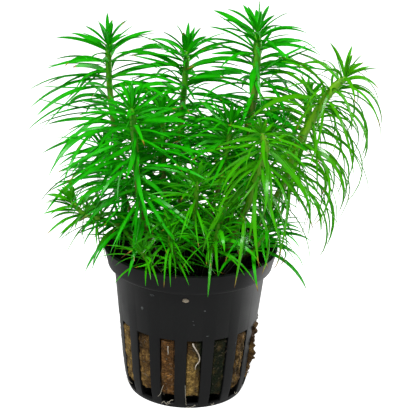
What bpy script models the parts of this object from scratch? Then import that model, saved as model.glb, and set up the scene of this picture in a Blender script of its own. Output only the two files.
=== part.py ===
"""Potted Pogostemon deccanensis: leafy shoots in a rockwool plug in a slotted black net pot.

Lengths are in millimetres and angles in degrees. The finished meshes are scaled to metres.
The origin is the middle of the pot's underside, +Z is up and the side seen first is -Y.
"""

import math
import random
from collections import namedtuple

import bmesh
import bpy
import numpy as np
from mathutils import Matrix, Vector

OBJECT_NAME = "potted_pogostemon_deccanensis"
METRES_PER_MM = 0.001
MERGE_DISTANCE = 0.00001
GAP = 0.3

# Net pot
POT_HEIGHT = 48.5
RIM_RADIUS = 27.5
RIM_LOW_RADIUS = 26.0
RIM_LOW_Z = 42.5
BODY_TOP_RADIUS = 24.0
BODY_TOP_Z = 42.0
SLOT_TOP_Z = 25.0
SLOT_TOP_RADIUS = 22.2
FOOT_BEND_RADIUS = 20.6
FOOT_BEND_Z = 8.5
SLOT_BOTTOM_Z = 1.4
SLOT_BOTTOM_RADIUS = 19.1
BASE_RADIUS = 18.4
POT_WALL = 1.0
SLOT_COUNT = 16
FIRST_SLOT_FROM_FRONT = 6.2
POT_STEPS = 4 * SLOT_COUNT

# Rockwool plug
PLUG_TOP_Z = 38.0
PLUG_STEPS = 2 * SLOT_COUNT
KEY_TOP_Z = 24.6
KEY_BOTTOM_Z = 4.6
PLUG_FOOT_RADIUS = 15.0
PLUG_FOOT_Z = 2.2
KEY_INSET = 0.35
KEY_DEPTH = 0.9
ROOT_KEY_DEPTH = 0.35
BULGE_INSET = 0.55
BULGE_DEPTH = 2.3
SLOTS_WITH_ROOTS = (0, 15)
SLOTS_THAT_BULGE = (3, 4)

# Roots that lie in the slots, as distance along the wall from the slot's middle and height
ROOT_RADIUS = 0.25
ROOT_BELOW_WALL = 0.4
FRONT_ROOT = ((-0.9, 23.9), (-0.5, 22.9), (0.6, 21.0), (1.25, 18.7), (1.0, 17.3), (0.4, 16.5), (0.15, 15.4))
SIDE_ROOT = ((0.35, 22.2), (0.3, 21.2), (0.35, 20.0))

# Stems
STEM_SIDES = 6
STEM_FOOT_RADIUS = 0.95
STEM_TIP_RADIUS = 0.6
STEM_FOOT_Z = PLUG_TOP_Z + GAP
BAND_HEIGHT = 0.6
BUD_SHARE = 0.8
BARE_STEP = 10
PATH_STEPS = 12
STEM_TEST_STEPS = 3

# Whorls, counted from the tip: each step down the stem is longer, up to the longest
FIRST_WHORL = 1.0
FIRST_STEP = 1.4
STEP_GROWTH = 1.17
LONGEST_STEP = 5.5

# Leaves
LEAF_THICKNESS = 0.5
LEAF_WIDTH = 1.5
LEAF_FOOT_HALF = 0.5
LEAF_HALF = math.hypot(LEAF_WIDTH, LEAF_THICKNESS) / 2
LEAF_TIP_HALF = 0.05
LEAF_MIDDLE = 0.5
# A leaf's corners in their order round it: which side of the midrib, and above or below it
LEAF_CORNERS = ((-1, 1), (1, 1), (1, -1), (-1, -1))
YOUNG_RISE = 52
UPRIGHT = 0.6
STEEPEST_RISE = 75
LOWEST_RISE = 60
YOUNG_DROOP = 22
LEAST_DROOP = 1
CURL_PAST_DOWN = 35
GROWN_AT = 13
LENGTH_GROWTH = 0.52
POSTURE_GROWTH = 0.32
SAG_PER_MM = 0.7
INWARD_DROOP = 0.35
HANG_FROM_X = 20
HANG_FROM_Y = -16
POT_TESTS = 10
LEAF_CLEARANCE = 0.12
TESTED_FROM = 2.6
MOST_STRETCHES = 6000
TRIES = 70
SEED = 7
SHORTEST = 0.88
LONGEST = 1.08
FIRST_JITTER = 9
YOUNG_JITTER = 0.3
JITTER_GROWTH = 0.45
DROOP_JITTER = 1.5
SWAY = 22
SHORTENING = 0.006

# Each shoot: its route from the plug to the tip, how far from the tip it has leaves, the lengths of its
# youngest and grown leaves, how steeply its grown leaves leave the stem and how far they bend down
Shoot = namedtuple("Shoot", "name route leafy young grown rise droop")
SHOOTS = (
    Shoot("shoot_back_left", ((-9, 5), (-15.5, 6.5, 48.5), (-21, 8, 59.5), (-24, 10, 73.5), (-26, 12, 87),
                              (-27.2, 13, 97), (-27.8, 14, 109)), 50, 9, 27.5, 6, 32),
    Shoot("shoot_front_left", ((-7, -5), (-11, -7.5, 48.5), (-14, -9, 58), (-16, -11, 66), (-17, -13, 76),
                               (-17.7, -14, 86), (-18.8, -14, 97)), 42, 9, 24, 6, 40),
    Shoot("shoot_back_middle", ((-2, 4), (-3, 5, 49), (-4, 6, 62.5), (-4.7, 9, 76.5), (-4.2, 11, 88),
                                (-3.6, 12, 98), (-3.2, 12, 108)), 48, 9, 26, 8, 36),
    Shoot("shoot_tall_right", ((5, 1.5), (8, 2.2, 50), (11.7, 3, 66), (15.4, 4, 82), (17.8, 4, 96),
                               (18.2, 4, 107), (18, 4, 117)), 48, 9.5, 26, 12, 52),
    Shoot("shoot_right_leaning", ((11, -1), (16, -0.5, 47), (22, 0, 57.5), (28.4, -2, 71.5), (31.6, -4, 84),
                                  (34.8, -5, 91), (39.5, -6, 100.5), (44.5, -6, 106.5)), 38, 9.5, 31, 18, 155),
    Shoot("shoot_front_right", ((6.5, -7), (10.5, -9.5, 49), (14.3, -12, 60), (17.4, -15, 69.5),
                                (20, -19, 82), (21, -20.3, 88), (19.5, -21, 93)), 25, 5, 29, -36, 44),
    Shoot("shoot_low_left", ((-12, -1), (-16, -2, 47), (-20, -3, 53.5), (-24.4, -4, 56.5), (-28.8, -4, 57.5),
                             (-33.7, -4, 59), (-37.5, -4, 63)), 20, 6.5, 16, 14, 50),
    Shoot("shoot_front_low", ((-2.5, -10), (-4, -14, 47), (-5.7, -18.5, 54), (-6.7, -21.5, 60.5)),
          14, 9, 18, 12, 70),
    Shoot("shoot_front_left_low", ((-6.5, -11), (-10, -16, 46), (-13, -20.5, 51), (-14.8, -23.5, 55)),
          14, 8, 17, 12, 65),
    Shoot("shoot_front_middle", ((0.5, -6), (0.8, -10, 52), (1, -15, 65), (1.3, -18, 76)), 17, 8, 20, 12, 60),
    Shoot("shoot_front_centre_low", ((3.5, -10.5), (5.5, -14.5, 49), (7.5, -18.5, 57.5), (8.3, -20.5, 64)),
          14, 8, 19, 12, 80),
    Shoot("shoot_right_small", ((12.5, 4), (19, 5.5, 50), (28, 7, 64), (33.5, 8, 78), (35.3, 8, 91),
                                (35.2, 8, 96)), 28, 7, 27, 16, 115),
    Shoot("shoot_middle_left", ((-4.5, 0), (-6.5, 0.5, 52), (-9, 1, 70), (-10, 2, 91)), 17, 8, 20, 12, 50),
    Shoot("shoot_middle_right", ((2.5, -3), (5, -4, 55), (9, -5, 75), (11, -6, 91)), 17, 8, 21, 12, 55),
    Shoot("shoot_right_low", ((9.5, -6), (15.5, -9.5, 47), (20.5, -13, 54), (24, -16, 62)),
          14, 8, 22, 18, 90),
    Shoot("shoot_rear_left", ((-5, 9), (-8, 14, 52), (-11, 20, 70), (-12, 24, 86)), 17, 8, 23, 10, 55),
    Shoot("shoot_rear_middle", ((3, 10), (5, 15, 52), (7.5, 22, 66), (8, 26, 79)), 17, 8, 23, 10, 60),
    Shoot("shoot_rear_right", ((9, 7), (15, 11, 50), (21, 16, 66), (25, 20, 83)), 17, 8, 24, 12, 65),
    Shoot("shoot_rear_far_left", ((-11, 8), (-17, 12, 49), (-24, 17, 60), (-29, 20, 72)), 17, 8, 22, 10, 55),
    Shoot("shoot_rear_low", ((-1, 12), (-3, 16, 46), (-5, 20.5, 52), (-6, 25, 58)), 8, 8, 17, 12, 60),
    Shoot("shoot_rear_right_low", ((7, 11), (10, 15.5, 46), (13.5, 20, 52), (16, 24, 57)), 8, 8, 17, 12, 60),
)

Leaf = namedtuple("Leaf", "start first under side length droop sway tip")
Whorl = namedtuple("Whorl", "centre along side leaves")


def clear_scene():
    for existing in list(bpy.data.objects):
        bpy.data.objects.remove(existing, do_unlink=True)


def new_collection(name):
    collection = bpy.data.collections.new(name)
    bpy.context.scene.collection.children.link(collection)
    return collection


def plain_material(name, colour, roughness):
    material = bpy.data.materials.new(name)
    material.use_nodes = True
    shader = material.node_tree.nodes["Principled BSDF"]
    shader.inputs["Base Color"].default_value = (*colour, 1)
    shader.inputs["Roughness"].default_value = roughness
    shader.inputs["Metallic"].default_value = 0
    return material


def add_object(name, mesh, material, collection):
    mesh.materials.append(material)
    mesh.shade_smooth()
    mesh.set_sharp_from_angle(angle=math.radians(35))
    made = bpy.data.objects.new(name, mesh)
    collection.objects.link(made)
    return made


def plain_mesh(made):
    """The mesh of an object as its modifiers leave it; the object itself is removed."""
    graph = bpy.context.evaluated_depsgraph_get()
    mesh = bpy.data.meshes.new_from_object(made.evaluated_get(graph))
    bpy.data.objects.remove(made, do_unlink=True)
    return mesh


def turned_mesh(name, profile, steps, collection):
    """A profile of radius and height turned round the Z axis, from the outer side's top downwards."""
    mesh = bpy.data.meshes.new(name)
    points = [(radius * METRES_PER_MM, 0, height * METRES_PER_MM) for radius, height in profile]
    edges = [(i, i + 1) for i in range(len(points) - 1)]
    mesh.from_pydata(points, edges, [])
    made = bpy.data.objects.new(name, mesh)
    collection.objects.link(made)
    screw = made.modifiers.new("Turn", "SCREW")
    screw.steps = steps
    screw.render_steps = steps
    screw.use_merge_vertices = True
    screw.merge_threshold = MERGE_DISTANCE
    return plain_mesh(made)


def slot_of(face, steps):
    """The number of the slot that a face of a turned mesh lies in, or None between two slots."""
    centre = face.calc_center_median()
    turn = math.degrees(math.atan2(centre.y, centre.x)) + 90 + 180 / SLOT_COUNT / 2
    pitch = 360 / SLOT_COUNT
    if turn % pitch > pitch / 2:
        return None
    return int(turn // pitch) % SLOT_COUNT


def between(face, low, high):
    return low * METRES_PER_MM < face.calc_center_median().z < high * METRES_PER_MM


def pot_radius(height):
    """The radius of the pot's outer side below its rim."""
    heights = (0, SLOT_BOTTOM_Z, FOOT_BEND_Z, SLOT_TOP_Z, BODY_TOP_Z)
    radii = (BASE_RADIUS, SLOT_BOTTOM_RADIUS, FOOT_BEND_RADIUS, SLOT_TOP_RADIUS, BODY_TOP_RADIUS)
    return float(np.interp(height, heights, radii))


def make_pot(collection):
    """A thin turned shell: a slanted rim band, a tapered body with upright slots and a flat floor."""
    profile = (
        (RIM_RADIUS, POT_HEIGHT),
        (RIM_LOW_RADIUS, RIM_LOW_Z),
        (BODY_TOP_RADIUS, BODY_TOP_Z),
        (SLOT_TOP_RADIUS, SLOT_TOP_Z),
        (FOOT_BEND_RADIUS, FOOT_BEND_Z),
        (SLOT_BOTTOM_RADIUS, SLOT_BOTTOM_Z),
        (BASE_RADIUS, 0),
        (0, 0),
    )
    mesh = turned_mesh("net_pot", profile, POT_STEPS, collection)
    bm = bmesh.new()
    bm.from_mesh(mesh)
    wall = [face for face in bm.faces if between(face, SLOT_BOTTOM_Z, SLOT_TOP_Z)]
    slots = [face for face in wall if slot_of(face, POT_STEPS) is not None]
    bmesh.ops.delete(bm, geom=slots, context="FACES")
    bm.to_mesh(mesh)
    bm.free()
    mesh.transform(Matrix.Rotation(math.radians(FIRST_SLOT_FROM_FRONT), 4, "Z"))
    plastic = plain_material("black_plastic", (0.012, 0.012, 0.013), 0.38)
    pot = add_object("net_pot", mesh, plastic, collection)
    shell = pot.modifiers.new("Wall", "SOLIDIFY")
    shell.thickness = POT_WALL * METRES_PER_MM
    shell.offset = -1
    shell.use_even_offset = True
    return pot


def key_size(slot):
    """How far the wool's key in a slot is narrowed, and how far it stands out."""
    if slot in SLOTS_THAT_BULGE:
        return BULGE_INSET, BULGE_DEPTH
    if slot in SLOTS_WITH_ROOTS:
        return KEY_INSET, ROOT_KEY_DEPTH
    return KEY_INSET, KEY_DEPTH


def make_plug(collection):
    """The wool that fills the pot and presses a key into each slot."""
    inside = POT_WALL + GAP
    heights = (PLUG_TOP_Z, KEY_TOP_Z, FOOT_BEND_Z, KEY_BOTTOM_Z)
    side = [(pot_radius(height) - inside, height) for height in heights]
    profile = [(0, PLUG_TOP_Z), *side, (PLUG_FOOT_RADIUS, PLUG_FOOT_Z), (0, inside)]
    mesh = turned_mesh("rockwool_plug", profile, PLUG_STEPS, collection)
    # Half a step round, so that one column of faces is centred on each slot
    mesh.transform(Matrix.Rotation(math.pi / PLUG_STEPS, 4, "Z"))
    bm = bmesh.new()
    bm.from_mesh(mesh)
    keys = {}
    for face in bm.faces:
        slot = slot_of(face, PLUG_STEPS)
        if slot is not None and between(face, KEY_BOTTOM_Z, KEY_TOP_Z):
            keys.setdefault(slot, []).append(face)
    for slot, faces in sorted(keys.items()):
        inset, depth = key_size(slot)
        bmesh.ops.inset_region(
            bm,
            faces=faces,
            thickness=inset * METRES_PER_MM,
            depth=depth * METRES_PER_MM,
            use_even_offset=True,
        )
    bm.to_mesh(mesh)
    bm.free()
    mesh.transform(Matrix.Rotation(math.radians(FIRST_SLOT_FROM_FRONT), 4, "Z"))
    wool = plain_material("rockwool", (0.2, 0.11, 0.035), 0.95)
    return add_object("rockwool_plug", mesh, wool, collection)


def make_root(name, slot, route, material, collection):
    """A root that lies against the wool in a slot."""
    middle = math.radians(FIRST_SLOT_FROM_FRONT + slot * 360 / SLOT_COUNT - 90)
    curve = bpy.data.curves.new(name, "CURVE")
    curve.dimensions = "3D"
    curve.bevel_depth = ROOT_RADIUS * METRES_PER_MM
    curve.bevel_resolution = 0
    curve.use_fill_caps = True
    spline = curve.splines.new("POLY")
    spline.points.add(len(route) - 1)
    for point, (along, height) in zip(spline.points, route):
        radius = pot_radius(height) - ROOT_BELOW_WALL
        angle = middle + along / radius
        place = Vector((radius * math.cos(angle), radius * math.sin(angle), height))
        point.co = (*(place * METRES_PER_MM), 1)
    made = bpy.data.objects.new(name, curve)
    collection.objects.link(made)
    mesh = plain_mesh(made)
    bm = bmesh.new()
    bm.from_mesh(mesh)
    bmesh.ops.remove_doubles(bm, verts=bm.verts, dist=MERGE_DISTANCE)
    bmesh.ops.recalc_face_normals(bm, faces=bm.faces)
    bm.to_mesh(mesh)
    bm.free()
    return add_object(name, mesh, material, collection)


def smooth_path(route):
    """Close points on a smooth curve through a shoot's route, from its foot to its tip."""
    points = [Vector((*point, STEM_FOOT_Z)[:3]) for point in route]
    ends = [points[0] * 2 - points[1], *points, points[-1] * 2 - points[-2]]
    path = []
    for before, start, end, after in zip(ends, ends[1:], ends[2:], ends[3:]):
        for step in range(PATH_STEPS):
            t = step / PATH_STEPS
            bent = (end - before) * t + (before * 2 - start * 5 + end * 4 - after) * t**2
            path.append(start + (bent + (start * 3 - before - end * 3 + after) * t**3) / 2)
    return path + [points[-1]]


def place_on(path, from_tip):
    """The point this far down from the tip of a path, and the way the stem grows there."""
    for upper, lower in zip(reversed(path), list(reversed(path))[1:]):
        length = (upper - lower).length
        if from_tip <= length:
            return upper.lerp(lower, from_tip / length), (upper - lower).normalized()
        from_tip -= length
    return path[0].copy(), (path[1] - path[0]).normalized()


def path_length(path):
    return sum((b - a).length for a, b in zip(path, path[1:]))


def whorl_distances(leafy):
    """How far from the tip each whorl sits, down to where the leaves end."""
    found = []
    distance = FIRST_WHORL
    step = FIRST_STEP
    while distance < leafy:
        found.append(distance)
        distance += step
        step = min(step * STEP_GROWTH, LONGEST_STEP)
    return found


def stem_radius(share_from_tip):
    return STEM_TIP_RADIUS + (STEM_FOOT_RADIUS - STEM_TIP_RADIUS) * share_from_tip


class Crowd:
    """Every stem and leaf so far, as straight stretches with a half width at each end."""

    def __init__(self):
        self.rows = np.zeros((MOST_STRETCHES, 9))
        self.count = 0

    def add(self, owner, start, end, start_half, end_half):
        self.rows[self.count] = (*start, *end, start_half, end_half, owner)
        self.count += 1

    def gap(self, start, end, start_half, end_half, skipped=-1):
        """The least clear distance from a new stretch to what is there already, one owner's aside."""
        rows = self.rows[: self.count]
        rows = rows[rows[:, 8] != skipped]
        first = np.array(start)
        run = np.array(end) - first
        others = rows[:, 0:3]
        runs = rows[:, 3:6] - others
        apart = first - others
        own = run @ run
        their = np.einsum("ij,ij->i", runs, runs)
        both = runs @ run
        own_part = apart @ run
        their_part = np.einsum("ij,ij->i", runs, apart)
        spread = np.maximum(own * their - both * both, 1e-9)
        share = np.clip((both * their_part - own_part * their) / spread, 0, 1)
        other_share = np.clip((both * share + their_part) / their, 0, 1)
        share = np.clip((both * other_share - own_part) / own, 0, 1)
        between_them = apart + share[:, None] * run - other_share[:, None] * runs
        half = start_half + (end_half - start_half) * share
        other_half = rows[:, 6] + (rows[:, 7] - rows[:, 6]) * other_share
        return float((np.linalg.norm(between_them, axis=1) - half - other_half).min())


def leaf_point(leaf, t):
    """A point on a leaf's even arc, from the stem at 0 to the tip at 1."""
    ahead = leaf.first * math.sin(leaf.droop * t) / leaf.droop
    down = leaf.under * (1 - math.cos(leaf.droop * t)) / leaf.droop
    return leaf.start + (ahead + down + leaf.side * leaf.sway * t**2 / 2) * leaf.length


def shape_leaf(centre, along, out, stem, length, rise, droop, sway):
    """A leaf that leaves the stem at this rise and then bends evenly towards the ground and to one side.

    Leaves level themselves: on a leaning stem their rise is measured from nearer the level than square to it.
    """
    axis = along.lerp(Vector((0, 0, 1)), UPRIGHT).normalized()
    level = (out - axis * out.dot(axis)).normalized()
    first = level * math.cos(math.radians(rise)) + axis * math.sin(math.radians(rise))
    down = Vector((0, 0, -1))
    under = (down - first * down.dot(first)).normalized()
    most = math.degrees(first.angle(down)) + CURL_PAST_DOWN
    bending = math.radians(max(LEAST_DROOP, min(droop, most)))
    start = centre + out * stem
    leaf = Leaf(start, first, under, under.cross(first), length, bending, math.radians(sway), None)
    return leaf._replace(tip=leaf_point(leaf, 1))


def clear_of_pot(leaf):
    """True when a leaf, and the two straight runs that it is made of, stay out of the pot and the wool.

    Only leaves in front and on the right hang down past the rim.
    """
    if leaf.tip.z < POT_HEIGHT and leaf.tip.x < HANG_FROM_X and leaf.tip.y > HANG_FROM_Y:
        return False
    middle = leaf_point(leaf, LEAF_MIDDLE)
    shares = [step / POT_TESTS for step in range(2, POT_TESTS + 1)]
    arch = [leaf_point(leaf, share) for share in shares]
    lower_run = [leaf.start.lerp(middle, share) for share in shares]
    upper_run = [middle.lerp(leaf.tip, share) for share in shares]
    for point in arch + lower_run + upper_run:
        radius = math.hypot(point.x, point.y)
        within = radius < BODY_TOP_RADIUS - POT_WALL - LEAF_WIDTH
        if within and point.z < PLUG_TOP_Z + LEAF_WIDTH:
            return False
        if not within and point.z < POT_HEIGHT + LEAF_WIDTH / 2 and radius < RIM_RADIUS + LEAF_WIDTH / 2:
            return False
    return True


def leaf_stretches(leaf):
    """The three straight stretches that stand for a leaf in the crowd, from the stem to the tip."""
    share = min(TESTED_FROM / leaf.length, LEAF_MIDDLE / 2) / LEAF_MIDDLE
    middle = leaf_point(leaf, LEAF_MIDDLE)
    near = leaf.start.lerp(middle, share)
    near_half = LEAF_FOOT_HALF + (LEAF_HALF - LEAF_FOOT_HALF) * share
    return (
        (leaf.start, near, LEAF_FOOT_HALF, near_half),
        (near, middle, near_half, LEAF_HALF),
        (middle, leaf.tip, LEAF_HALF, LEAF_TIP_HALF),
    )


def fits(crowd, owner, stretches):
    """True when no stretch touches another leaf or stem; a leaf's foot may touch its own shoot."""
    foot, *rest = stretches
    if crowd.gap(*foot, owner) <= LEAF_CLEARANCE:
        return False
    return all(crowd.gap(*stretch) > LEAF_CLEARANCE for stretch in rest)


def habit(shoot, distance, centre, out):
    """The length, the rise and the droop of a leaf: leaves towards the plant's middle droop less."""
    age = min(1, distance / GROWN_AT)
    bearing = age**POSTURE_GROWTH
    length = shoot.young + (shoot.grown - shoot.young) * age**LENGTH_GROWTH
    rise = YOUNG_RISE + (shoot.rise - YOUNG_RISE) * bearing - SAG_PER_MM * max(0, distance - GROWN_AT)
    outward = Vector((centre.x, centre.y, 0)).normalized().dot(out)
    droop = YOUNG_DROOP + (shoot.droop - YOUNG_DROOP) * bearing
    return length, rise, droop * (1 - (1 - INWARD_DROOP) * (1 - outward) / 2)


def grow_leaf(shoot, owner, crowd, chance, place, out):
    """The first leaf shape found that touches nothing, or None."""
    centre, along, stem, distance = place
    usual_length, usual_rise, usual_droop = habit(shoot, distance, centre, out)
    age = min(1, distance / GROWN_AT)
    for attempt in range(TRIES):
        jitter = FIRST_JITTER * (YOUNG_JITTER + (1 - YOUNG_JITTER) * age) + JITTER_GROWTH * attempt
        swing = Matrix.Rotation(math.radians(chance.uniform(-jitter, jitter)), 3, along)
        length = usual_length * chance.uniform(SHORTEST, LONGEST) * (1 - SHORTENING * attempt)
        rise = max(-LOWEST_RISE, min(usual_rise + chance.uniform(-jitter, jitter), STEEPEST_RISE))
        droop = usual_droop + DROOP_JITTER * chance.uniform(-jitter, jitter)
        sway = chance.uniform(-SWAY, SWAY)
        leaf = shape_leaf(centre, along, swing @ out, stem, length, rise, droop, sway)
        stretches = leaf_stretches(leaf)
        if clear_of_pot(leaf) and fits(crowd, owner, stretches):
            for stretch in stretches:
                crowd.add(owner, *stretch)
            return leaf
    return None


def grow_whorls(shoot, owner, path, crowd, chance):
    """Every second whorl of a shoot, from the lowest to the youngest."""
    total = path_length(path)
    whorls = []
    side = None
    for distance in reversed(whorl_distances(shoot.leafy)[1::2]):
        centre, along = place_on(path, distance)
        if side is None:
            side = along.cross(Vector((0, 1, 0))).normalized()
        side = (side - along * side.dot(along)).normalized()
        place = (centre, along, stem_radius(distance / total), distance)
        leaves = []
        for number in range(STEM_SIDES):
            out = Matrix.Rotation(math.tau * (number + 0.5) / STEM_SIDES, 3, along) @ side
            leaves.append(grow_leaf(shoot, owner, crowd, chance, place, out))
        whorls.append(Whorl(centre, along, side, leaves))
    return whorls


def bud_tip(shoot, path):
    """The point of the closed bud, which is nearly as long as the youngest leaves."""
    tip, along = place_on(path, 0)
    return tip + along * shoot.young * BUD_SHARE


def ring(centre, along, side, radius):
    """The corners of the stem at one height."""
    turns = [Matrix.Rotation(math.tau * number / STEM_SIDES, 3, along) for number in range(STEM_SIDES)]
    return [centre + (turn @ side) * radius for turn in turns]


def lift_end(bm, end, corners):
    """Extrudes the stem's end face to these corners; returns the new end and the walls in order."""
    end = bmesh.ops.extrude_discrete_faces(bm, faces=[end])["faces"][0]
    for vertex, corner in zip(end.verts, corners):
        vertex.co = corner
    walls = []
    for loop in end.loops:
        walls.append(next(face for face in loop.edge.link_faces if face is not end))
    return end, walls


def pull_leaf(bm, wall, leaf):
    """Extrudes a wall of the stem to the leaf's middle, then draws its end to the tip."""
    middle = leaf_point(leaf, LEAF_MIDDLE)
    heading = (leaf.tip - leaf.start).normalized()
    upward = leaf.side.cross(heading).normalized()
    base = wall.calc_center_median()
    base_up = leaf.side.cross(leaf.first)
    end = bmesh.ops.extrude_discrete_faces(bm, faces=[wall])["faces"][0]
    # Each corner goes to where it turns least
    offsets = [vertex.co - base for vertex in end.verts]
    toward = [leaf.side * across + base_up * above for across, above in LEAF_CORNERS]
    fit = [sum(offsets[place].dot(toward[place - turn]) for place in range(4)) for turn in range(4)]
    turn = fit.index(max(fit))
    for place, vertex in enumerate(end.verts):
        across, above = LEAF_CORNERS[place - turn]
        vertex.co = middle + leaf.side * across * LEAF_WIDTH / 2 + upward * above * LEAF_THICKNESS / 2
    point = bmesh.ops.poke(bm, faces=[end])["verts"][0]
    point.co = leaf.tip


def start_stem(bm, foot, first):
    """A six-sided column from the stem's level foot to its first ring; returns its top face."""
    bmesh.ops.create_cone(bm, cap_ends=True, segments=STEM_SIDES, radius1=1, radius2=1, depth=1)
    end = max(bm.faces, key=lambda face: face.calc_center_median().z)
    side = Vector((*(first[0] - sum(first, Vector()) / STEM_SIDES).xy, 0)).normalized()
    feet = ring(foot, Vector((0, 0, 1)), side, STEM_FOOT_RADIUS)
    for vertex, corner, low in zip(list(end.verts), first, feet):
        post = next(edge for edge in vertex.link_edges if end not in edge.link_faces)
        post.other_vert(vertex).co = low
        vertex.co = corner
    return end


def make_shoot(shoot, path, whorls, material, collection):
    """One shoot: its stem is drawn up ring by ring, and each whorl's leaves are drawn out of its walls."""
    bm = bmesh.new()
    total = path_length(path)
    solid_whorls = list(reversed(whorl_distances(shoot.leafy)[1::2]))
    bare = total - solid_whorls[0]
    runs = round(bare / BARE_STEP)
    side = whorls[0].side
    end = None
    for number in range(1, runs):
        centre, along = place_on(path, total - bare * number / runs)
        side = (side - along * side.dot(along)).normalized()
        corners = ring(centre, along, side, stem_radius(1 - bare * number / runs / total))
        end = lift_end(bm, end, corners)[0] if end else start_stem(bm, path[0], corners)
    for whorl, distance in zip(whorls, solid_whorls):
        radius = stem_radius(distance / total)
        half_band = whorl.along * BAND_HEIGHT / 2
        low = ring(whorl.centre - half_band, whorl.along, whorl.side, radius)
        high = ring(whorl.centre + half_band, whorl.along, whorl.side, radius)
        end = lift_end(bm, end, low)[0] if end else start_stem(bm, path[0], low)
        end, walls = lift_end(bm, end, high)
        for wall, leaf in zip(walls, whorl.leaves):
            if leaf:
                pull_leaf(bm, wall, leaf)
    bud = bmesh.ops.poke(bm, faces=[end])["verts"][0]
    bud.co = bud_tip(shoot, path)
    mesh = bpy.data.meshes.new(shoot.name)
    bm.to_mesh(mesh)
    bm.free()
    mesh.transform(Matrix.Scale(METRES_PER_MM, 4))
    return add_object(shoot.name, mesh, material, collection)


def grow_plant():
    """The path and whorls of every shoot, none touching another."""
    crowd = Crowd()
    paths = [smooth_path(shoot.route) for shoot in SHOOTS]
    for owner, path in enumerate(paths):
        for low, high in zip(path[::STEM_TEST_STEPS], path[STEM_TEST_STEPS::STEM_TEST_STEPS]):
            crowd.add(owner, low, high, STEM_FOOT_RADIUS, STEM_FOOT_RADIUS)
        crowd.add(owner, path[-1], bud_tip(SHOOTS[owner], path), STEM_TIP_RADIUS, LEAF_TIP_HALF)
    chance = random.Random(SEED)
    plant = []
    for owner, (shoot, path) in enumerate(zip(SHOOTS, paths)):
        plant.append((shoot, path, grow_whorls(shoot, owner, path, crowd, chance)))
    return plant


def main():
    clear_scene()
    collection = new_collection(OBJECT_NAME)
    make_pot(collection)
    make_plug(collection)
    pale = plain_material("root_white", (0.7, 0.62, 0.5), 0.6)
    make_root("root_front_slot", 0, FRONT_ROOT, pale, collection)
    make_root("root_left_slot", -1, SIDE_ROOT, pale, collection)
    green = plain_material("leaf_green", (0.03, 0.35, 0.02), 0.45)
    for shoot, path, whorls in grow_plant():
        make_shoot(shoot, path, whorls, green, collection)


main()
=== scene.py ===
"""The looks of the potted Pogostemon deccanensis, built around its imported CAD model.

Lengths are worked out in millimetres, as in the part's source, and the meshes are scaled to metres.
"""

import math
import random
from collections import defaultdict, namedtuple
from itertools import product

import bmesh
import bpy
import numpy as np
from mathutils import Matrix, Vector, noise


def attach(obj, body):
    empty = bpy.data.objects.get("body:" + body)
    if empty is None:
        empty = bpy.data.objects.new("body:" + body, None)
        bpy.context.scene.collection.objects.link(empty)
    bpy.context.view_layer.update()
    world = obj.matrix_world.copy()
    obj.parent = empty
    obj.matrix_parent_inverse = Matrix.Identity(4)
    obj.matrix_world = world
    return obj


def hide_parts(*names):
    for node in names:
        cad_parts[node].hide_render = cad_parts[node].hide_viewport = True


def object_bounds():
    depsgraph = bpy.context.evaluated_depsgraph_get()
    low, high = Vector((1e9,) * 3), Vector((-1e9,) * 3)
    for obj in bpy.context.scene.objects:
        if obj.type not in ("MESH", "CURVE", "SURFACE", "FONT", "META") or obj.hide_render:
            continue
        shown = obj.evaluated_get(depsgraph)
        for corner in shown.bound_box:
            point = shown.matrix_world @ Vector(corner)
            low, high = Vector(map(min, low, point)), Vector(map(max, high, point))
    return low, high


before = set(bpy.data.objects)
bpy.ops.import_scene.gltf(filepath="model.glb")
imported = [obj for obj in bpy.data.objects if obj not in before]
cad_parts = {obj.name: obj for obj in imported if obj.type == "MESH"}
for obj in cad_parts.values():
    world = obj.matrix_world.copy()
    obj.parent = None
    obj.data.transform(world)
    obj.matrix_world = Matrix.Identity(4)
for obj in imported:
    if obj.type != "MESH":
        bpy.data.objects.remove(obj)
CAD_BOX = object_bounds()

METRES_PER_MM = 0.001
MERGE_DISTANCE = 0.00001

# Net pot, as radius and height of its outer side
POT_WALL = 1.0
POT_EDGE = 0.16
SLOT_COUNT = 16
SLOT_PITCH = 360 / SLOT_COUNT
FIRST_SLOT_FROM_FRONT = 6.2
SLOT_TOP_Z = 25.0
SLOT_BOTTOM_Z = 1.4
BODY_TOP_RADIUS = 24.0
RIM_RADIUS = 27.5
POT_HEIGHT = 48.5
FLOOR_RADIUS = 18.1
POT_SIDE = ((18.4, 0.0), (19.1, 1.4), (19.95, 4.6), (20.6, 8.5), (21.45, 17.0), (22.2, 25.0), (24.0, 42.0))
POT_RIM = ((25.6, 42.15), (26.0, 42.55), (26.15, 43.3), (26.18, 43.5), (27.5, 48.5))
COLUMNS_PER_SLOT = 16
OPEN_COLUMNS = 9

# Rockwool plug, shrunken and with painted shade up to about VOID_TOP_Z, pressed into the slots above that,
# with painted shade on top
PLUG_TOP_Z = 38.0
PLUG_TOP_RADII = (0, 8, 15, 20)
PLUG_SIDE_FOOT_Z = 1.8
PLUG_FOOT = ((10, 1.5), (0, 1.5))
PLUG_CORE = 15
PLUG_GAP = 0.1
PLUG_COLUMNS = 24
PLUG_ROWS = 90
VOID_TOP_Z = 4.4
VOID_DEPTH = 2.2
SHADE_ON_TOP = 0.93
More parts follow.
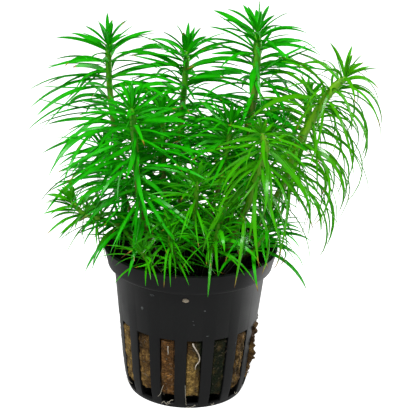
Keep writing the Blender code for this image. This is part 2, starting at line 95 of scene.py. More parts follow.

# The wool that shows in each slot, counted from the front one to the right: how far it bulges, and how mossy,
# how light and how red it is and how much painted shade darkens its top; the others take the everyday values
Wool = namedtuple("Wool", "bulge moss tone red dark_top", defaults=(0, 0, 0.5, 0.1, 0.3))
WOOL_IN_SLOT = {
    0: Wool(moss=0.35, tone=0.96, dark_top=1.1),
    1: Wool(moss=1.0),
    2: Wool(0.35, 0.25, 0.24, 0.3, 0.7),
    3: Wool(1.3, 0, 0.05, 0.3, 1.2),
    4: Wool(0.9, 0.35, 0.05, 0.1, 1.2),
    6: Wool(moss=0.8),
    7: Wool(red=0.4),
    9: Wool(moss=0.6),
    11: Wool(red=0.3),
    13: Wool(bulge=0.25, tone=0.8),
    14: Wool(tone=0.24, red=0.35, dark_top=0.9),
    15: Wool(tone=0.13, red=0.8, dark_top=1.0),
}

# Roots that lie in the slots, as distance along the wall from the slot's middle and height, with their lift
# off the wall and their half width
FRONT_ROOT = ((-0.6, 24.2), (-0.3, 23.3), (0.35, 22.2), (1.0, 21.0), (1.55, 19.6), (1.7, 18.6),
              (1.45, 17.6), (0.9, 16.8), (0.55, 16.0), (0.5, 15.0))
FRONT_ROOT_LIFT = 0.12
FRONT_ROOT_HALF = 0.27
LEFT_ROOT = ((0.35, 22.6), (0.3, 21.6), (0.38, 20.6), (0.35, 19.6))
LEFT_ROOT_LIFT = 0.1
LEFT_ROOT_HALF = 0.2
ROOT_TAPER = 0.6

# Loose fibres of the wool
FIBRES = 500
FIBRE_SEED = 3
FIBRE_LOWEST_Z = 4.5
FIBRE_POINTS = 6
FIBRE_RISE = 0.45
FIBRE_SUNK = 0.35
FIBRE_SIDES = 4

# Pale threads at the slots' feet, and one painted highlight along a bar's edge drawn the same way, as slot
# and then points of distance along the wall, height and lift
PALE_LINE_HALF = 0.07
PALE_LINE_TONE = 0.8
THREADS_AND_EDGE_HIGHLIGHT = (
    (-1, (-1.2, 8.3, 0.1), (-1.7, 6.9, 0.25), (-2.1, 5.4, 0.1), (-2.5, 4.5, 0.2), (-3.3, 3.4, 0.1)),
    (-1, (-2.0, 1.2, 0.5), (-1.2, 2.0, 0.2), (-0.4, 1.5, 0.6), (0.3, 2.3, 0.3), (0.9, 1.7, 0.6)),
    (-1, (-0.6, 0.7, 0.4), (0.2, 1.6, 0.7), (1.0, 2.9, 0.4), (1.8, 3.2, 0.1)),
    (0, (-1.8, 0.4, 0.4), (-1.0, 0.9, 0.7), (-0.3, 0.6, 0.4), (0.5, 1.2, 0.6), (1.2, 1.5, 0.2)),
    # painted highlight: a pale line along the left edge of the bar beside the front slot, drawn like a thread
    (0, (-2.4, 9.2, 0.1), (-2.2, 6.5, 0.15), (-2.0, 4.0, 0.1), (-1.7, 1.4, 0.1)),
    (1, (-1.2, 1.3, 0.3), (-0.8, 0.8, 0.6), (-0.3, 1.5, 0.3)),
    (2, (0.4, 3.0, 0.2), (0.8, 2.2, 0.5), (1.3, 2.6, 0.6), (1.6, 1.6, 0.3)),
    (-3, (0.2, 3.4, 0.0), (0.6, 4.6, 0.9), (0.1, 5.2, 1.5), (-0.5, 4.6, 1.6)),
    (-4, (1.0, 2.0, 0.0), (0.4, 2.8, 0.9), (-0.4, 2.2, 1.3)),
)

# Grit and dust on the pot's side, as slot, distance along, height and half sizes
GRIT = ((0, -3.46, 39.4, 1.05, 0.68, 0.3),)
DUST = (
    (-2, 4.4, 39.6, 0.75, 0.35, 0.08),
    (-2, 0.43, 34.0, 0.45, 0.6, 0.06),
    (0, 2.6, 35.7, 0.28, 0.25, 0.06),
    (0, -0.9, 32.2, 0.16, 0.16, 0.08),
    (0, -0.6, 30.9, 0.3, 0.14, 0.06),
    (0, 3.85, 26.7, 0.36, 0.16, 0.08),
    (2, -2.96, 22.0, 0.16, 0.2, 0.08),
    (8, 2.0, 36.0, 0.4, 0.3, 0.06),
    (11, -1.5, 33.5, 0.3, 0.4, 0.06),
    (5, 3.2, 30.0, 0.35, 0.25, 0.06),
)
SPECK_LIFT = 0.02

# Stems
STEM_SIDES = 6
STEM_FOOT_RADIUS = 0.95
STEM_TIP_RADIUS = 0.6
STEM_FOOT_Z = 38.3
PATH_STEPS = 12
STEM_TEST_STEPS = 3

# Stems as drawn: their shape along the way down from the tip, their swellings at the whorls and their foot
DRAWN_STEM_SIDES = 10
DRAWN_STEPS_PER_MM = 1.2
FEWEST_STEM_STEPS = 24
CROWN_END = 3
TIP_SHARE = 0.4
SLIMMER_FROM = 22
SLIMMER_OVER = 15
SLIMMER_BY = 0.3
SWELLING = 0.12
SWELLING_REACH = 0.6
STEM_TIP_HALF = 0.3
FOOT_IN_WOOL = 1.2

# Whorls, counted from the tip
FIRST_WHORL = 1.0
FIRST_STEP = 1.4
STEP_GROWTH = 1.17
LONGEST_STEP = 5.5

# Leaves that the CAD model has as solids
LEAF_THICKNESS = 0.5
LEAF_WIDTH = 1.5
LEAF_FOOT_HALF = 0.5
LEAF_HALF = math.hypot(LEAF_WIDTH, LEAF_THICKNESS) / 2
LEAF_TIP_HALF = 0.05
LEAF_MIDDLE = 0.5
YOUNG_RISE = 52
UPRIGHT = 0.6
STEEPEST_RISE = 75
LOWEST_RISE = 60
YOUNG_DROOP = 22
LEAST_DROOP = 1
CURL_PAST_DOWN = 35
GROWN_AT = 13
LENGTH_GROWTH = 0.52
POSTURE_GROWTH = 0.32
SAG_PER_MM = 0.7
INWARD_DROOP = 0.35
HANG_FROM_X = 20
HANG_FROM_Y = -16
POT_TESTS = 10
TESTED_FROM = 2.6
MOST_STRETCHES = 16000
CELL = 5.0
FARTHEST_HALF = 1.1
FAR = 99.0
LEAST_SPREAD = 1e-9
SEED = 7
LONGEST = 1.08
YOUNG_JITTER = 0.3
JITTER_GROWTH = 0.45
DROOP_JITTER = 1.5
SWAY = 22
SHORTENING = 0.006

# How a leaf is fitted in among the others: its half widths, the clear distance, how far in degrees its
# first shape may differ from the usual one, its least length as a share of the usual, and the number of tries
Fit = namedtuple("Fit", "foot_half half clearance jitter shortest tries")
SOLID_FIT = Fit(LEAF_FOOT_HALF, LEAF_HALF, 0.12, 9, 0.88, 70)
THIN_FIT = Fit(0.3, 0.3, -0.15, 24, 0.5, 14)

# Leaves past the solid ones
MORE_SEED = 11
THIN_FIRST_STEP = 1.3
THIN_STEP_GROWTH = 1.12
THIN_LONGEST_STEP = 2.7
LEAFY_PAST_SOLIDS = 5
THIN_WHORL = 8
MORE_IN_SOLID_WHORL = 3
THIN_FOOT_SHARE = 0.8
HANGING_Z = 50
HANGING_SHARE = 0.12
SAME_WHORL = 0.7

# The bud's leaves, which close over the tip
BUD_LEAVES = 10
BUD_SHARE = 0.8
BUD_FOOT = 0.3
BUD_UPRIGHT = 0.35
BUD_TURN = 0.382

# Blades as drawn: their section as shares of the half width, their bends as shares of the length, their turns
# in degrees, and their widths as shares of the shoot's breadth
BLADE_STEPS = 10
BLADE_KEEL = 0.6
BLADE_GROOVE = -0.05
BLADE_SWAY = 0.03
BLADE_ARCH = (-0.01, 0.08)
BLADE_TWIST = 50
BLADE_TILT = 62
FULLNESS = (2.4, 5.0)
BUD_FULLNESS = 4.5
LONE_FULLNESS = 3
LEAST_HALF = 0.12
POINT_HALF = 0.04
BROAD_SHARE = 0.22
BROAD_WIDTH = (1.3, 1.6)
USUAL_WIDTH = (0.8, 1.15)
THIN_WIDTH = (0.8, 1.2)
BUD_WIDTH = (0.75, 1.35)
DRY_SHARE = 0.2
DRY_TIP = (0.02, 0.1)

Shoot = namedtuple("Shoot", "name route leafy young grown rise droop")
SHOOTS = (
    Shoot("shoot_back_left", ((-9, 5), (-15.5, 6.5, 48.5), (-21, 8, 59.5), (-24, 10, 73.5), (-26, 12, 87),
                              (-27.2, 13, 97), (-27.8, 14, 109)), 50, 9, 27.5, 6, 32),
    Shoot("shoot_front_left", ((-7, -5), (-11, -7.5, 48.5), (-14, -9, 58), (-16, -11, 66), (-17, -13, 76),
                               (-17.7, -14, 86), (-18.8, -14, 97)), 42, 9, 24, 6, 40),
    Shoot("shoot_back_middle", ((-2, 4), (-3, 5, 49), (-4, 6, 62.5), (-4.7, 9, 76.5), (-4.2, 11, 88),
                                (-3.6, 12, 98), (-3.2, 12, 108)), 48, 9, 26, 8, 36),
    Shoot("shoot_tall_right", ((5, 1.5), (8, 2.2, 50), (11.7, 3, 66), (15.4, 4, 82), (17.8, 4, 96),
                               (18.2, 4, 107), (18, 4, 117)), 48, 9.5, 26, 12, 52),
    Shoot("shoot_right_leaning", ((11, -1), (16, -0.5, 47), (22, 0, 57.5), (28.4, -2, 71.5), (31.6, -4, 84),
                                  (34.8, -5, 91), (39.5, -6, 100.5), (44.5, -6, 106.5)),
          38, 9.5, 31, 18, 155),
    Shoot("shoot_front_right", ((6.5, -7), (10.5, -9.5, 49), (14.3, -12, 60), (17.4, -15, 69.5),
                                (20, -19, 82), (21, -20.3, 88), (19.5, -21, 93)), 25, 5, 29, -36, 44),
    Shoot("shoot_low_left", ((-12, -1), (-16, -2, 47), (-20, -3, 53.5), (-24.4, -4, 56.5), (-28.8, -4, 57.5),
                             (-33.7, -4, 59), (-37.5, -4, 63)), 20, 6.5, 16, 14, 50),
    Shoot("shoot_front_low", ((-2.5, -10), (-4, -14, 47), (-5.7, -18.5, 54), (-6.7, -21.5, 60.5)),
          14, 9, 18, 12, 70),
    Shoot("shoot_front_left_low", ((-6.5, -11), (-10, -16, 46), (-13, -20.5, 51), (-14.8, -23.5, 55)),
          14, 8, 17, 12, 65),
    Shoot("shoot_front_middle", ((0.5, -6), (0.8, -10, 52), (1, -15, 65), (1.3, -18, 76)), 17, 8, 20, 12, 60),
    Shoot("shoot_front_centre_low", ((3.5, -10.5), (5.5, -14.5, 49), (7.5, -18.5, 57.5), (8.3, -20.5, 64)),
          14, 8, 19, 12, 80),
    Shoot("shoot_right_small", ((12.5, 4), (19, 5.5, 50), (28, 7, 64), (33.5, 8, 78), (35.3, 8, 91),
                                (35.2, 8, 96)), 28, 7, 27, 16, 115),
    Shoot("shoot_middle_left", ((-4.5, 0), (-6.5, 0.5, 52), (-9, 1, 70), (-10, 2, 91)), 17, 8, 20, 12, 50),
    Shoot("shoot_middle_right", ((2.5, -3), (5, -4, 55), (9, -5, 75), (11, -6, 91)), 17, 8, 21, 12, 55),
    Shoot("shoot_right_low", ((9.5, -6), (15.5, -9.5, 47), (20.5, -13, 54), (24, -16, 62)),
          14, 8, 22, 18, 90),
    Shoot("shoot_rear_left", ((-5, 9), (-8, 14, 52), (-11, 20, 70), (-12, 24, 86)), 17, 8, 23, 10, 55),
    Shoot("shoot_rear_middle", ((3, 10), (5, 15, 52), (7.5, 22, 66), (8, 26, 79)), 17, 8, 23, 10, 60),
    Shoot("shoot_rear_right", ((9, 7), (15, 11, 50), (21, 16, 66), (25, 20, 83)), 17, 8, 24, 12, 65),
    Shoot("shoot_rear_far_left", ((-11, 8), (-17, 12, 49), (-24, 17, 60), (-29, 20, 72)), 17, 8, 22, 10, 55),
    Shoot("shoot_rear_low", ((-1, 12), (-3, 16, 46), (-5, 20.5, 52), (-6, 25, 58)), 8, 8, 17, 12, 60),
    Shoot("shoot_rear_right_low", ((7, 11), (10, 15.5, 46), (13.5, 20, 52), (16, 24, 57)), 8, 8, 17, 12, 60),
)

# How each shoot is dressed: how yellow its green is from 0 to 1, the share of its narrower leaves that is
# drawn, how broad its leaves are and its stem's greatest half width; the others take the everyday values
Dress = namedtuple("Dress", "yellow drawn breadth thickness", defaults=(0.06, 1, 1.1, 0.7))
DRESS = {
    "shoot_back_left": Dress(0.0, 0.55, 1.6, 0.95),
    "shoot_back_middle": Dress(0.0, 0.65, 1.5, 0.95),
    "shoot_tall_right": Dress(0.0, 0.55, 1.6, 1.2),
    "shoot_front_left": Dress(0.0, 1, 1.2, 0.95),
    "shoot_front_right": Dress(0.35, 0.6, 1.2, 1.2),
    "shoot_front_middle": Dress(0.25, 1, 0.85),
    "shoot_front_low": Dress(0.2, 0.5, 0.85),
    "shoot_front_left_low": Dress(0.25, 0.3, 0.85),
    "shoot_front_centre_low": Dress(0.2, 0.6, 0.85),
    "shoot_low_left": Dress(0.3, 0.6),
    "shoot_right_leaning": Dress(0.45, 0.45, 1.15, 1.25),
    "shoot_right_small": Dress(0.4, 0.45, 1.1, 0.85),
    "shoot_right_low": Dress(drawn=0.6),
    "shoot_rear_left": Dress(drawn=0.5),
    "shoot_rear_far_left": Dress(drawn=0.4),
}

# Single leaves that stand out: how far from the shoot's tip each starts, a point halfway along it, its tip,
# its width and the share of it that is dry
Lone = namedtuple("Lone", "from_tip middle tip width dry")
LONE_LEAVES = {
    "shoot_back_left": (
        Lone(7.5, (-38, 9, 92.5), (-48.5, 6, 81.5), 1.9, 0.0),
        Lone(22, (-34.5, 8, 84), (-45, 5, 77), 1.4, 0.0),
        Lone(14, (-39.5, 12, 94.5), (-50, 12, 95), 1.5, 0.06),
        Lone(22, (-42, 12, 89), (-49.5, 12, 91), 1.3, 0.03),
    ),
    "shoot_tall_right": (
        Lone(13, (27.5, 2, 109.5), (37, 1, 114), 1.5, 0.0),
        Lone(6, (31, 6, 114), (39.5, 7, 106), 1.2, 0.03),
    ),
    "shoot_front_left_low": (
        Lone(7, (-14, -21, 55.5), (-21, -20, 51), 1.1, 0.16),
        Lone(2.5, (-12, -27, 53), (-16.5, -28, 51.5), 0.9, 0.05),
    ),
    "shoot_low_left": (
        Lone(8.5, (-36.5, -7, 51), (-38.5, -8, 46), 0.6, 0.0),
        Lone(6, (-33.5, -8, 54.5), (-32.5, -9, 51), 0.6, 0.0),
        Lone(10, (-28.5, -8, 52.5), (-27.5, -10, 49.5), 0.8, 0.05),
        Lone(12.5, (-27, -9, 51.5), (-25.5, -12, 45.5), 0.6, 0.0),
        Lone(20.5, (-20, -8, 60), (-20.5, -10, 56), 1.0, 0.1),
        Lone(25, (-21, -9, 57), (-24.5, -11, 55), 1.1, 0.12),
    ),
    "shoot_front_left": (Lone(40, (-12.5, -15, 63.5), (-11.5, -17, 57), 1.2, 0.12),),
    "shoot_front_low": (
        Lone(7, (-7, -27, 55.5), (-7.5, -30.5, 46.5), 0.9, 0.04),
        Lone(9.5, (-6, -27, 54.5), (-5.5, -30, 46.5), 0.9, 0.0),
    ),
    "shoot_front_right": (
        Lone(31, (15.5, -25, 61), (13.5, -30, 47), 1.5, 0.05),
        Lone(25, (23, -22, 61), (21.5, -27, 50), 1.3, 0.06),
        Lone(19, (26.5, -20, 60), (25, -24, 50.5), 1.1, 0.12),
    ),
    "shoot_right_low": (Lone(9, (28.5, -16, 54), (27, -18, 49), 0.9, 0.2),),
    "shoot_right_leaning": (
        Lone(15, (25, -8, 99.5), (15.5, -9, 98.5), 1.3, 0.0),
        Lone(11, (27.5, -4, 106), (20.5, -3, 102.5), 1.2, 0.03),
        Lone(39, (41, -4, 64.5), (47.5, -6, 53.5), 0.8, 0.05),
        Lone(46, (34.5, -6, 57), (37.5, -8, 44), 0.8, 0.04),
        Lone(42.5, (38, -6, 65), (40.5, -8, 57), 1.0, 0.1),
        Lone(26, (44.5, -8, 74.5), (48, -9, 66), 0.7, 0.2),
        Lone(32, (42, -6, 74), (45.5, -8, 65.5), 0.7, 0.1),
        Lone(36.5, (36, -7, 68), (33.5, -9, 55.5), 0.9, 0.3),
    ),
}

# Colours, as red, green and blue
LEAF_DEEP = (0.005, 0.33, 0.001)
LEAF_BRIGHT = (0.018, 0.64, 0.001)
LEAF_YELLOWED = (0.16, 0.43, 0.001)
LEAF_FOOT = (0.08, 0.6, 0.006)
LEAF_RIB = (0.03, 0.75, 0.006)
LEAF_FADED = (0.4, 0.3, 0.03)
LEAF_DRY = (0.2, 0.08, 0.02)
STEM_OLIVE = (0.14, 0.2, 0.016)
STEM_BROWN = (0.36, 0.3, 0.06)
STEM_GREEN = (0.1, 0.55, 0.004)
STEM_LIME = (0.4, 0.75, 0.004)
STEM_MOTTLE = (0.2, 0.4, 0.02)
# painted shade on the stems inside the pot's mouth, near the wool
STEM_PAINTED_SHADE = (0.02, 0.022, 0.005)
POT_DARK = (0.006, 0.0064, 0.0067)
POT_PALE = (0.0085, 0.009, 0.0093)
# painted shade for the pot's inside
INSIDE_SHADE_DARK = (0.001, 0.001, 0.001)
INSIDE_SHADE_PALE = (0.003, 0.003, 0.0025)
WOOL_DARK = (0.07, 0.03, 0.008)
WOOL_OCHRE = (0.75, 0.5, 0.14)
RED_WOOL_DARK = (0.06, 0.018, 0.006)
RED_WOOL_PALE = (0.95, 0.42, 0.12)
WOOL_CRUMB = (0.04, 0.018, 0.004)
WOOL_GRAIN = (0.06, 0.03, 0.006)
WOOL_MOSS = (0.012, 0.02, 0.006)
# painted shade for the void at the plug's foot and for the plug's top
WOOL_PAINTED_SHADE = (0.001, 0.001, 0.001)
FIBRE_BROWN = (0.06, 0.03, 0.008)
FIBRE_AND_HIGHLIGHT_PALE = (0.72, 0.66, 0.52)
GRIT_DARK = (0.42, 0.33, 0.22)
GRIT_PALE = (0.66, 0.58, 0.45)
DUST_DARK = (0.03, 0.033, 0.034)
DUST_PALE = (0.15, 0.16, 0.165)
ROOT_CREAM = (0.55, 0.45, 0.33)
ROOT_WHITE = (0.8, 0.74, 0.64)
TABLE_DARK = (0.54, 0.54, 0.54)
TABLE_PALE = (0.56, 0.56, 0.56)

# Camera: its place in millimetres, its turns in radians and its focal length in the photograph's pixels
PHOTO_SIDE = 416
CAMERA_AT = (0, -450, 230.662)
CAMERA_TILT = 0.3611
CAMERA_PAN = 0.01115
CAMERA_ROLL = 0.0395
CAMERA_FOCUS = 1538.1657
FILM_MM = 36

# Lights, as name, place and size in metres and power in watts, and the painted pool of light on the floor,
# seen only in reflections, that the pot mirrors
LIGHTS = (
    ("light_above", (-0.12, -0.42, 0.8), (0.22, 0.22), 6.0),
    ("light_left", (-0.66, 0.38, 0.2), (0.5, 0.36), 1.5),
    ("light_right", (0.58, 0.46, 0.16), (0.34, 0.3), 5.5),
)
LIGHTS_AIM = (0, 0, 0.06)
SKY_STRENGTH = 0.22
PAINTED_LIGHT_POOL_AT = (0.085, 0.035, 0)
PAINTED_LIGHT_POOL_REACH = 0.07
PAINTED_LIGHT_POOL_CORE = 0.02
FLOOR_SIZE = 6

Leaf = namedtuple("Leaf", "start first under side length droop sway tip age")
Line = namedtuple("Line", "points sides halves tone yellow dry stem")
Spot = namedtuple("Spot", "x y z slot shows void_top grain")


# Growth of the plant, repeated from the part's source so that every solid leaf has its blade

def smooth_path(route):
    """Close points on a smooth curve through a shoot's route, from its foot to its tip."""
    points = [Vector((*point, STEM_FOOT_Z)[:3]) for point in route]
    ends = [points[0] * 2 - points[1], *points, points[-1] * 2 - points[-2]]
    path = []
    for before, start, end, after in zip(ends, ends[1:], ends[2:], ends[3:]):
        for step in range(PATH_STEPS):
            t = step / PATH_STEPS
            bent = (end - before) * t + (before * 2 - start * 5 + end * 4 - after) * t**2
            path.append(start + (bent + (start * 3 - before - end * 3 + after) * t**3) / 2)
    return path + [points[-1]]


def place_on(path, from_tip):
    """The point this far down from the tip of a path, and the way the stem grows there."""
    for upper, lower in zip(reversed(path), list(reversed(path))[1:]):
        length = (upper - lower).length
        if from_tip <= length:
            return upper.lerp(lower, from_tip / length), (upper - lower).normalized()
        from_tip -= length
    return path[0].copy(), (path[1] - path[0]).normalized()


def path_length(path):
    return sum((b - a).length for a, b in zip(path, path[1:]))


def whorl_distances(leafy, step=FIRST_STEP, growth=STEP_GROWTH, longest=LONGEST_STEP):
    """How far from the tip each whorl sits, down to where the leaves end."""
    found = []
    distance = FIRST_WHORL
    while distance < leafy:
        found.append(distance)
        distance += step
        step = min(step * growth, longest)
    return found


def stem_radius(share_from_tip):
    return STEM_TIP_RADIUS + (STEM_FOOT_RADIUS - STEM_TIP_RADIUS) * share_from_tip


class Crowd:
    """Every stem and leaf so far, as straight stretches with a half width at each end, found by place.

    A row holds a stretch's start, its end, its two half widths and its shoot's number.
    """

    def __init__(self):
        self.rows = np.zeros((MOST_STRETCHES, 9))
        self.count = 0
        self.cells = defaultdict(list)

    def cells_round(self, start, end):
        """The cells that a stretch passes through or near."""
        spans = []
        for a, b in zip(start, end):
            low = math.floor((min(a, b) - FARTHEST_HALF) / CELL)
            high = math.floor((max(a, b) + FARTHEST_HALF) / CELL)
            spans.append(range(low, high + 1))
        return product(*spans)

    def add(self, owner, start, end, start_half, end_half):
        self.rows[self.count] = (*start, *end, start_half, end_half, owner)
        for cell in self.cells_round(start, end):
            self.cells[cell].append(self.count)
        self.count += 1

    def gap(self, start, end, start_half, end_half, skipped=-1):
        """The least clear distance from a new stretch to what is near it already, one owner's aside."""
        near = set()
        for cell in self.cells_round(start, end):
            near.update(self.cells.get(cell, ()))
        rows = self.rows[list(near)]
        rows = rows[rows[:, 8] != skipped]
        if not len(rows):
            return FAR
        first = np.array(start)
        run = np.array(end) - first
        others = rows[:, 0:3]
        runs = rows[:, 3:6] - others
        apart = first - others
        own = run @ run
        their = np.einsum("ij,ij->i", runs, runs)
        both = runs @ run
        own_part = apart @ run
        their_part = np.einsum("ij,ij->i", runs, apart)
        spread = np.maximum(own * their - both * both, LEAST_SPREAD)
        share = np.clip((both * their_part - own_part * their) / spread, 0, 1)
        other_share = np.clip((both * share + their_part) / their, 0, 1)
        share = np.clip((both * other_share - own_part) / own, 0, 1)
        between_them = apart + share[:, None] * run - other_share[:, None] * runs
        half = start_half + (end_half - start_half) * share
        other_half = rows[:, 6] + (rows[:, 7] - rows[:, 6]) * other_share
        return float((np.linalg.norm(between_them, axis=1) - half - other_half).min())


def leaf_point(leaf, t):
    """A point on a leaf's even arc, from the stem at 0 to the tip at 1."""
    ahead = leaf.first * math.sin(leaf.droop * t) / leaf.droop
    down = leaf.under * (1 - math.cos(leaf.droop * t)) / leaf.droop
    return leaf.start + (ahead + down + leaf.side * leaf.sway * t**2 / 2) * leaf.length


def bend_leaf(start, first, length, droop, sway, age):
    """A leaf that sets out this way and then bends evenly towards the ground and to one side."""
    down = Vector((0, 0, -1))
    under = (down - first * down.dot(first)).normalized()
    most = math.degrees(first.angle(down)) + CURL_PAST_DOWN
    bending = math.radians(max(LEAST_DROOP, min(droop, most)))
    leaf = Leaf(start, first, under, under.cross(first), length, bending, math.radians(sway), None, age)
    return leaf._replace(tip=leaf_point(leaf, 1))


def shape_leaf(centre, along, out, stem, length, rise, droop, sway, age):
    """A leaf that leaves the stem at this rise, which on a leaning stem is measured from nearer the level."""
    axis = along.lerp(Vector((0, 0, 1)), UPRIGHT).normalized()
    level = (out - axis * out.dot(axis)).normalized()
    first = level * math.cos(math.radians(rise)) + axis * math.sin(math.radians(rise))
    return bend_leaf(centre + out * stem, first, length, droop, sway, age)


def clear_of_pot(leaf):
    """True when a leaf, and the two straight runs that it is made of, stay out of the pot and the wool.

    Only leaves in front and on the right hang down past the rim.
    """
    if leaf.tip.z < POT_HEIGHT and leaf.tip.x < HANG_FROM_X and leaf.tip.y > HANG_FROM_Y:
        return False
    middle = leaf_point(leaf, LEAF_MIDDLE)
    shares = [step / POT_TESTS for step in range(2, POT_TESTS + 1)]
    arch = [leaf_point(leaf, share) for share in shares]
    lower_run = [leaf.start.lerp(middle, share) for share in shares]
    upper_run = [middle.lerp(leaf.tip, share) for share in shares]
    for point in arch + lower_run + upper_run:
        radius = math.hypot(point.x, point.y)
        within = radius < BODY_TOP_RADIUS - POT_WALL - LEAF_WIDTH
        if within and point.z < PLUG_TOP_Z + LEAF_WIDTH:
            return False
        if not within and point.z < POT_HEIGHT + LEAF_WIDTH / 2 and radius < RIM_RADIUS + LEAF_WIDTH / 2:
            return False
    return True


def leaf_stretches(leaf, fit):
    """The three straight stretches that stand for a leaf in the crowd, from the stem to the tip."""
    share = min(TESTED_FROM / leaf.length, LEAF_MIDDLE / 2) / LEAF_MIDDLE
    middle = leaf_point(leaf, LEAF_MIDDLE)
    near = leaf.start.lerp(middle, share)
    near_half = fit.foot_half + (fit.half - fit.foot_half) * share
    return (
        (leaf.start, near, fit.foot_half, near_half),
        (near, middle, near_half, fit.half),
        (middle, leaf.tip, fit.half, LEAF_TIP_HALF),
    )


def fits(crowd, owner, stretches, clearance):
    """True when no stretch touches another leaf or stem; a leaf's foot may touch its own shoot."""
    foot, *rest = stretches
    if crowd.gap(*foot, owner) <= clearance:
        return False
    return all(crowd.gap(*stretch) > clearance for stretch in rest)


def habit(shoot, distance, centre, out):
    """The length, the rise and the droop of a leaf: leaves towards the plant's middle droop less."""
    age = min(1, distance / GROWN_AT)
    bearing = age**POSTURE_GROWTH
    length = shoot.young + (shoot.grown - shoot.young) * age**LENGTH_GROWTH
    rise = YOUNG_RISE + (shoot.rise - YOUNG_RISE) * bearing - SAG_PER_MM * max(0, distance - GROWN_AT)
    outward = Vector((centre.x, centre.y, 0)).normalized().dot(out)
    droop = YOUNG_DROOP + (shoot.droop - YOUNG_DROOP) * bearing
    return length, rise, droop * (1 - (1 - INWARD_DROOP) * (1 - outward) / 2)


def in_cad_box(point):
    low, high = CAD_BOX
    return all(a <= value * METRES_PER_MM <= b for a, value, b in zip(low, point, high))


def hangs_too_low(leaf, chance):
    """True for most of the leaves whose tips hang down beside the pot."""
    return leaf.tip.z < HANGING_Z and chance.random() > HANGING_SHARE


def grow_leaf(shoot, owner, crowd, chance, place, out, fit):
    """The first leaf shape found that touches nothing, or None."""
    centre, along, stem, distance = place
    usual_length, usual_rise, usual_droop = habit(shoot, distance, centre, out)
    age = min(1, distance / GROWN_AT)
    for attempt in range(fit.tries):
        jitter = fit.jitter * (YOUNG_JITTER + (1 - YOUNG_JITTER) * age) + JITTER_GROWTH * attempt
        swing = Matrix.Rotation(math.radians(chance.uniform(-jitter, jitter)), 3, along)
        length = usual_length * chance.uniform(fit.shortest, LONGEST) * (1 - SHORTENING * attempt)
        rise = max(-LOWEST_RISE, min(usual_rise + chance.uniform(-jitter, jitter), STEEPEST_RISE))
        droop = usual_droop + DROOP_JITTER * chance.uniform(-jitter, jitter)
        sway = chance.uniform(-SWAY, SWAY)
        leaf = shape_leaf(centre, along, swing @ out, stem, length, rise, droop, sway, age)
        stretches = leaf_stretches(leaf, fit)
        left_out = fit is THIN_FIT and (not in_cad_box(leaf.tip) or hangs_too_low(leaf, chance))
        if not left_out and clear_of_pot(leaf) and fits(crowd, owner, stretches, fit.clearance):
            for stretch in stretches:
                crowd.add(owner, *stretch)
            return leaf
    return None


def grow_whorl(shoot, owner, crowd, chance, place, side, turns, fit):
    """Those leaves of one whorl that find room, each turned this far from the whorl's side."""
    leaves = []
    for turn in turns:
        out = Matrix.Rotation(turn, 3, place[1]) @ side
        leaf = grow_leaf(shoot, owner, crowd, chance, place, out, fit)
        if leaf:
            leaves.append(leaf)
    return leaves


def grow_solid_leaves(shoot, owner, path, crowd, chance):
    """The leaves of every second whorl, and the side that each of these whorls is turned to."""
    total = path_length(path)
    leaves = []
    sides = {}
    side = None
    for distance in reversed(whorl_distances(shoot.leafy)[1::2]):
        centre, along = place_on(path, distance)
        if side is None:
            side = along.cross(Vector((0, 1, 0))).normalized()
        side = (side - along * side.dot(along)).normalized()
        sides[distance] = side
        place = (centre, along, stem_radius(distance / total), distance)
        turns = [math.tau * (number + 0.5) / STEM_SIDES for number in range(STEM_SIDES)]
        leaves += grow_whorl(shoot, owner, crowd, chance, place, side, turns, SOLID_FIT)
    return leaves, sides


def thin_whorls(leafy, solid):
    """The distances of the whorls of narrower leaves, with a solid whorl's own where one is near."""
    found = []
    steps = (THIN_FIRST_STEP, THIN_STEP_GROWTH, THIN_LONGEST_STEP)
    for distance in whorl_distances(leafy + LEAFY_PAST_SOLIDS, *steps):
        nearest = min(solid, key=lambda whorl: abs(whorl - distance))
        found.append(nearest if abs(nearest - distance) < SAME_WHORL else distance)
    return found


def grow_more_leaves(shoot, owner, path, sides, crowd, chance):
    """The narrower leaves between the solid ones, in the same whorls and in whorls between."""
    total = path_length(path)
    leaves = []
    any_side = next(iter(sides.values()))
    for distance in reversed(thin_whorls(shoot.leafy, sides)):
        centre, along = place_on(path, distance)
        side = sides.get(distance, any_side)
        side = (side - along * side.dot(along)).normalized()
        if distance in sides:
            gaps = chance.sample(range(STEM_SIDES), MORE_IN_SOLID_WHORL)
            turns = [math.tau * gap / STEM_SIDES for gap in gaps]
        else:
            first = chance.random()
            turns = [math.tau * (number + first) / THIN_WHORL for number in range(THIN_WHORL)]
        place = (centre, along, stem_radius(distance / total) * THIN_FOOT_SHARE, distance)
        leaves += grow_whorl(shoot, owner, crowd, chance, place, side, turns, THIN_FIT)
    return leaves


def bud_tip(shoot, path):
    """The point of the closed bud, which is nearly as long as the youngest leaves."""
    tip, along = place_on(path, 0)
    return tip + along * shoot.young * BUD_SHARE


def grow_bud(shoot, path, chance):
    """The small upright leaves that close over the tip."""
    centre, along = place_on(path, BUD_FOOT)
    axis = along.lerp(Vector((0, 0, 1)), BUD_UPRIGHT).normalized()
    side = axis.cross(Vector((0, 1, 0))).normalized()
    leaves = []
    for number in range(BUD_LEAVES):
        inward = number / BUD_LEAVES
        turn = math.tau * (number * BUD_TURN + chance.uniform(-0.04, 0.04))
        out = Matrix.Rotation(turn, 3, axis) @ side
        length = shoot.young * (1.12 - 0.45 * inward) * chance.uniform(0.85, 1.1)
        rise = math.radians(50 + 35 * inward + chance.uniform(-7, 7))
        first = out * math.cos(rise) + axis * math.sin(rise)
        start = centre + out * BUD_FOOT + axis * BUD_SHARE * inward
        leaves.append(bend_leaf(start, first, length, chance.uniform(4, 24), chance.uniform(-15, 15), 0))
    return leaves


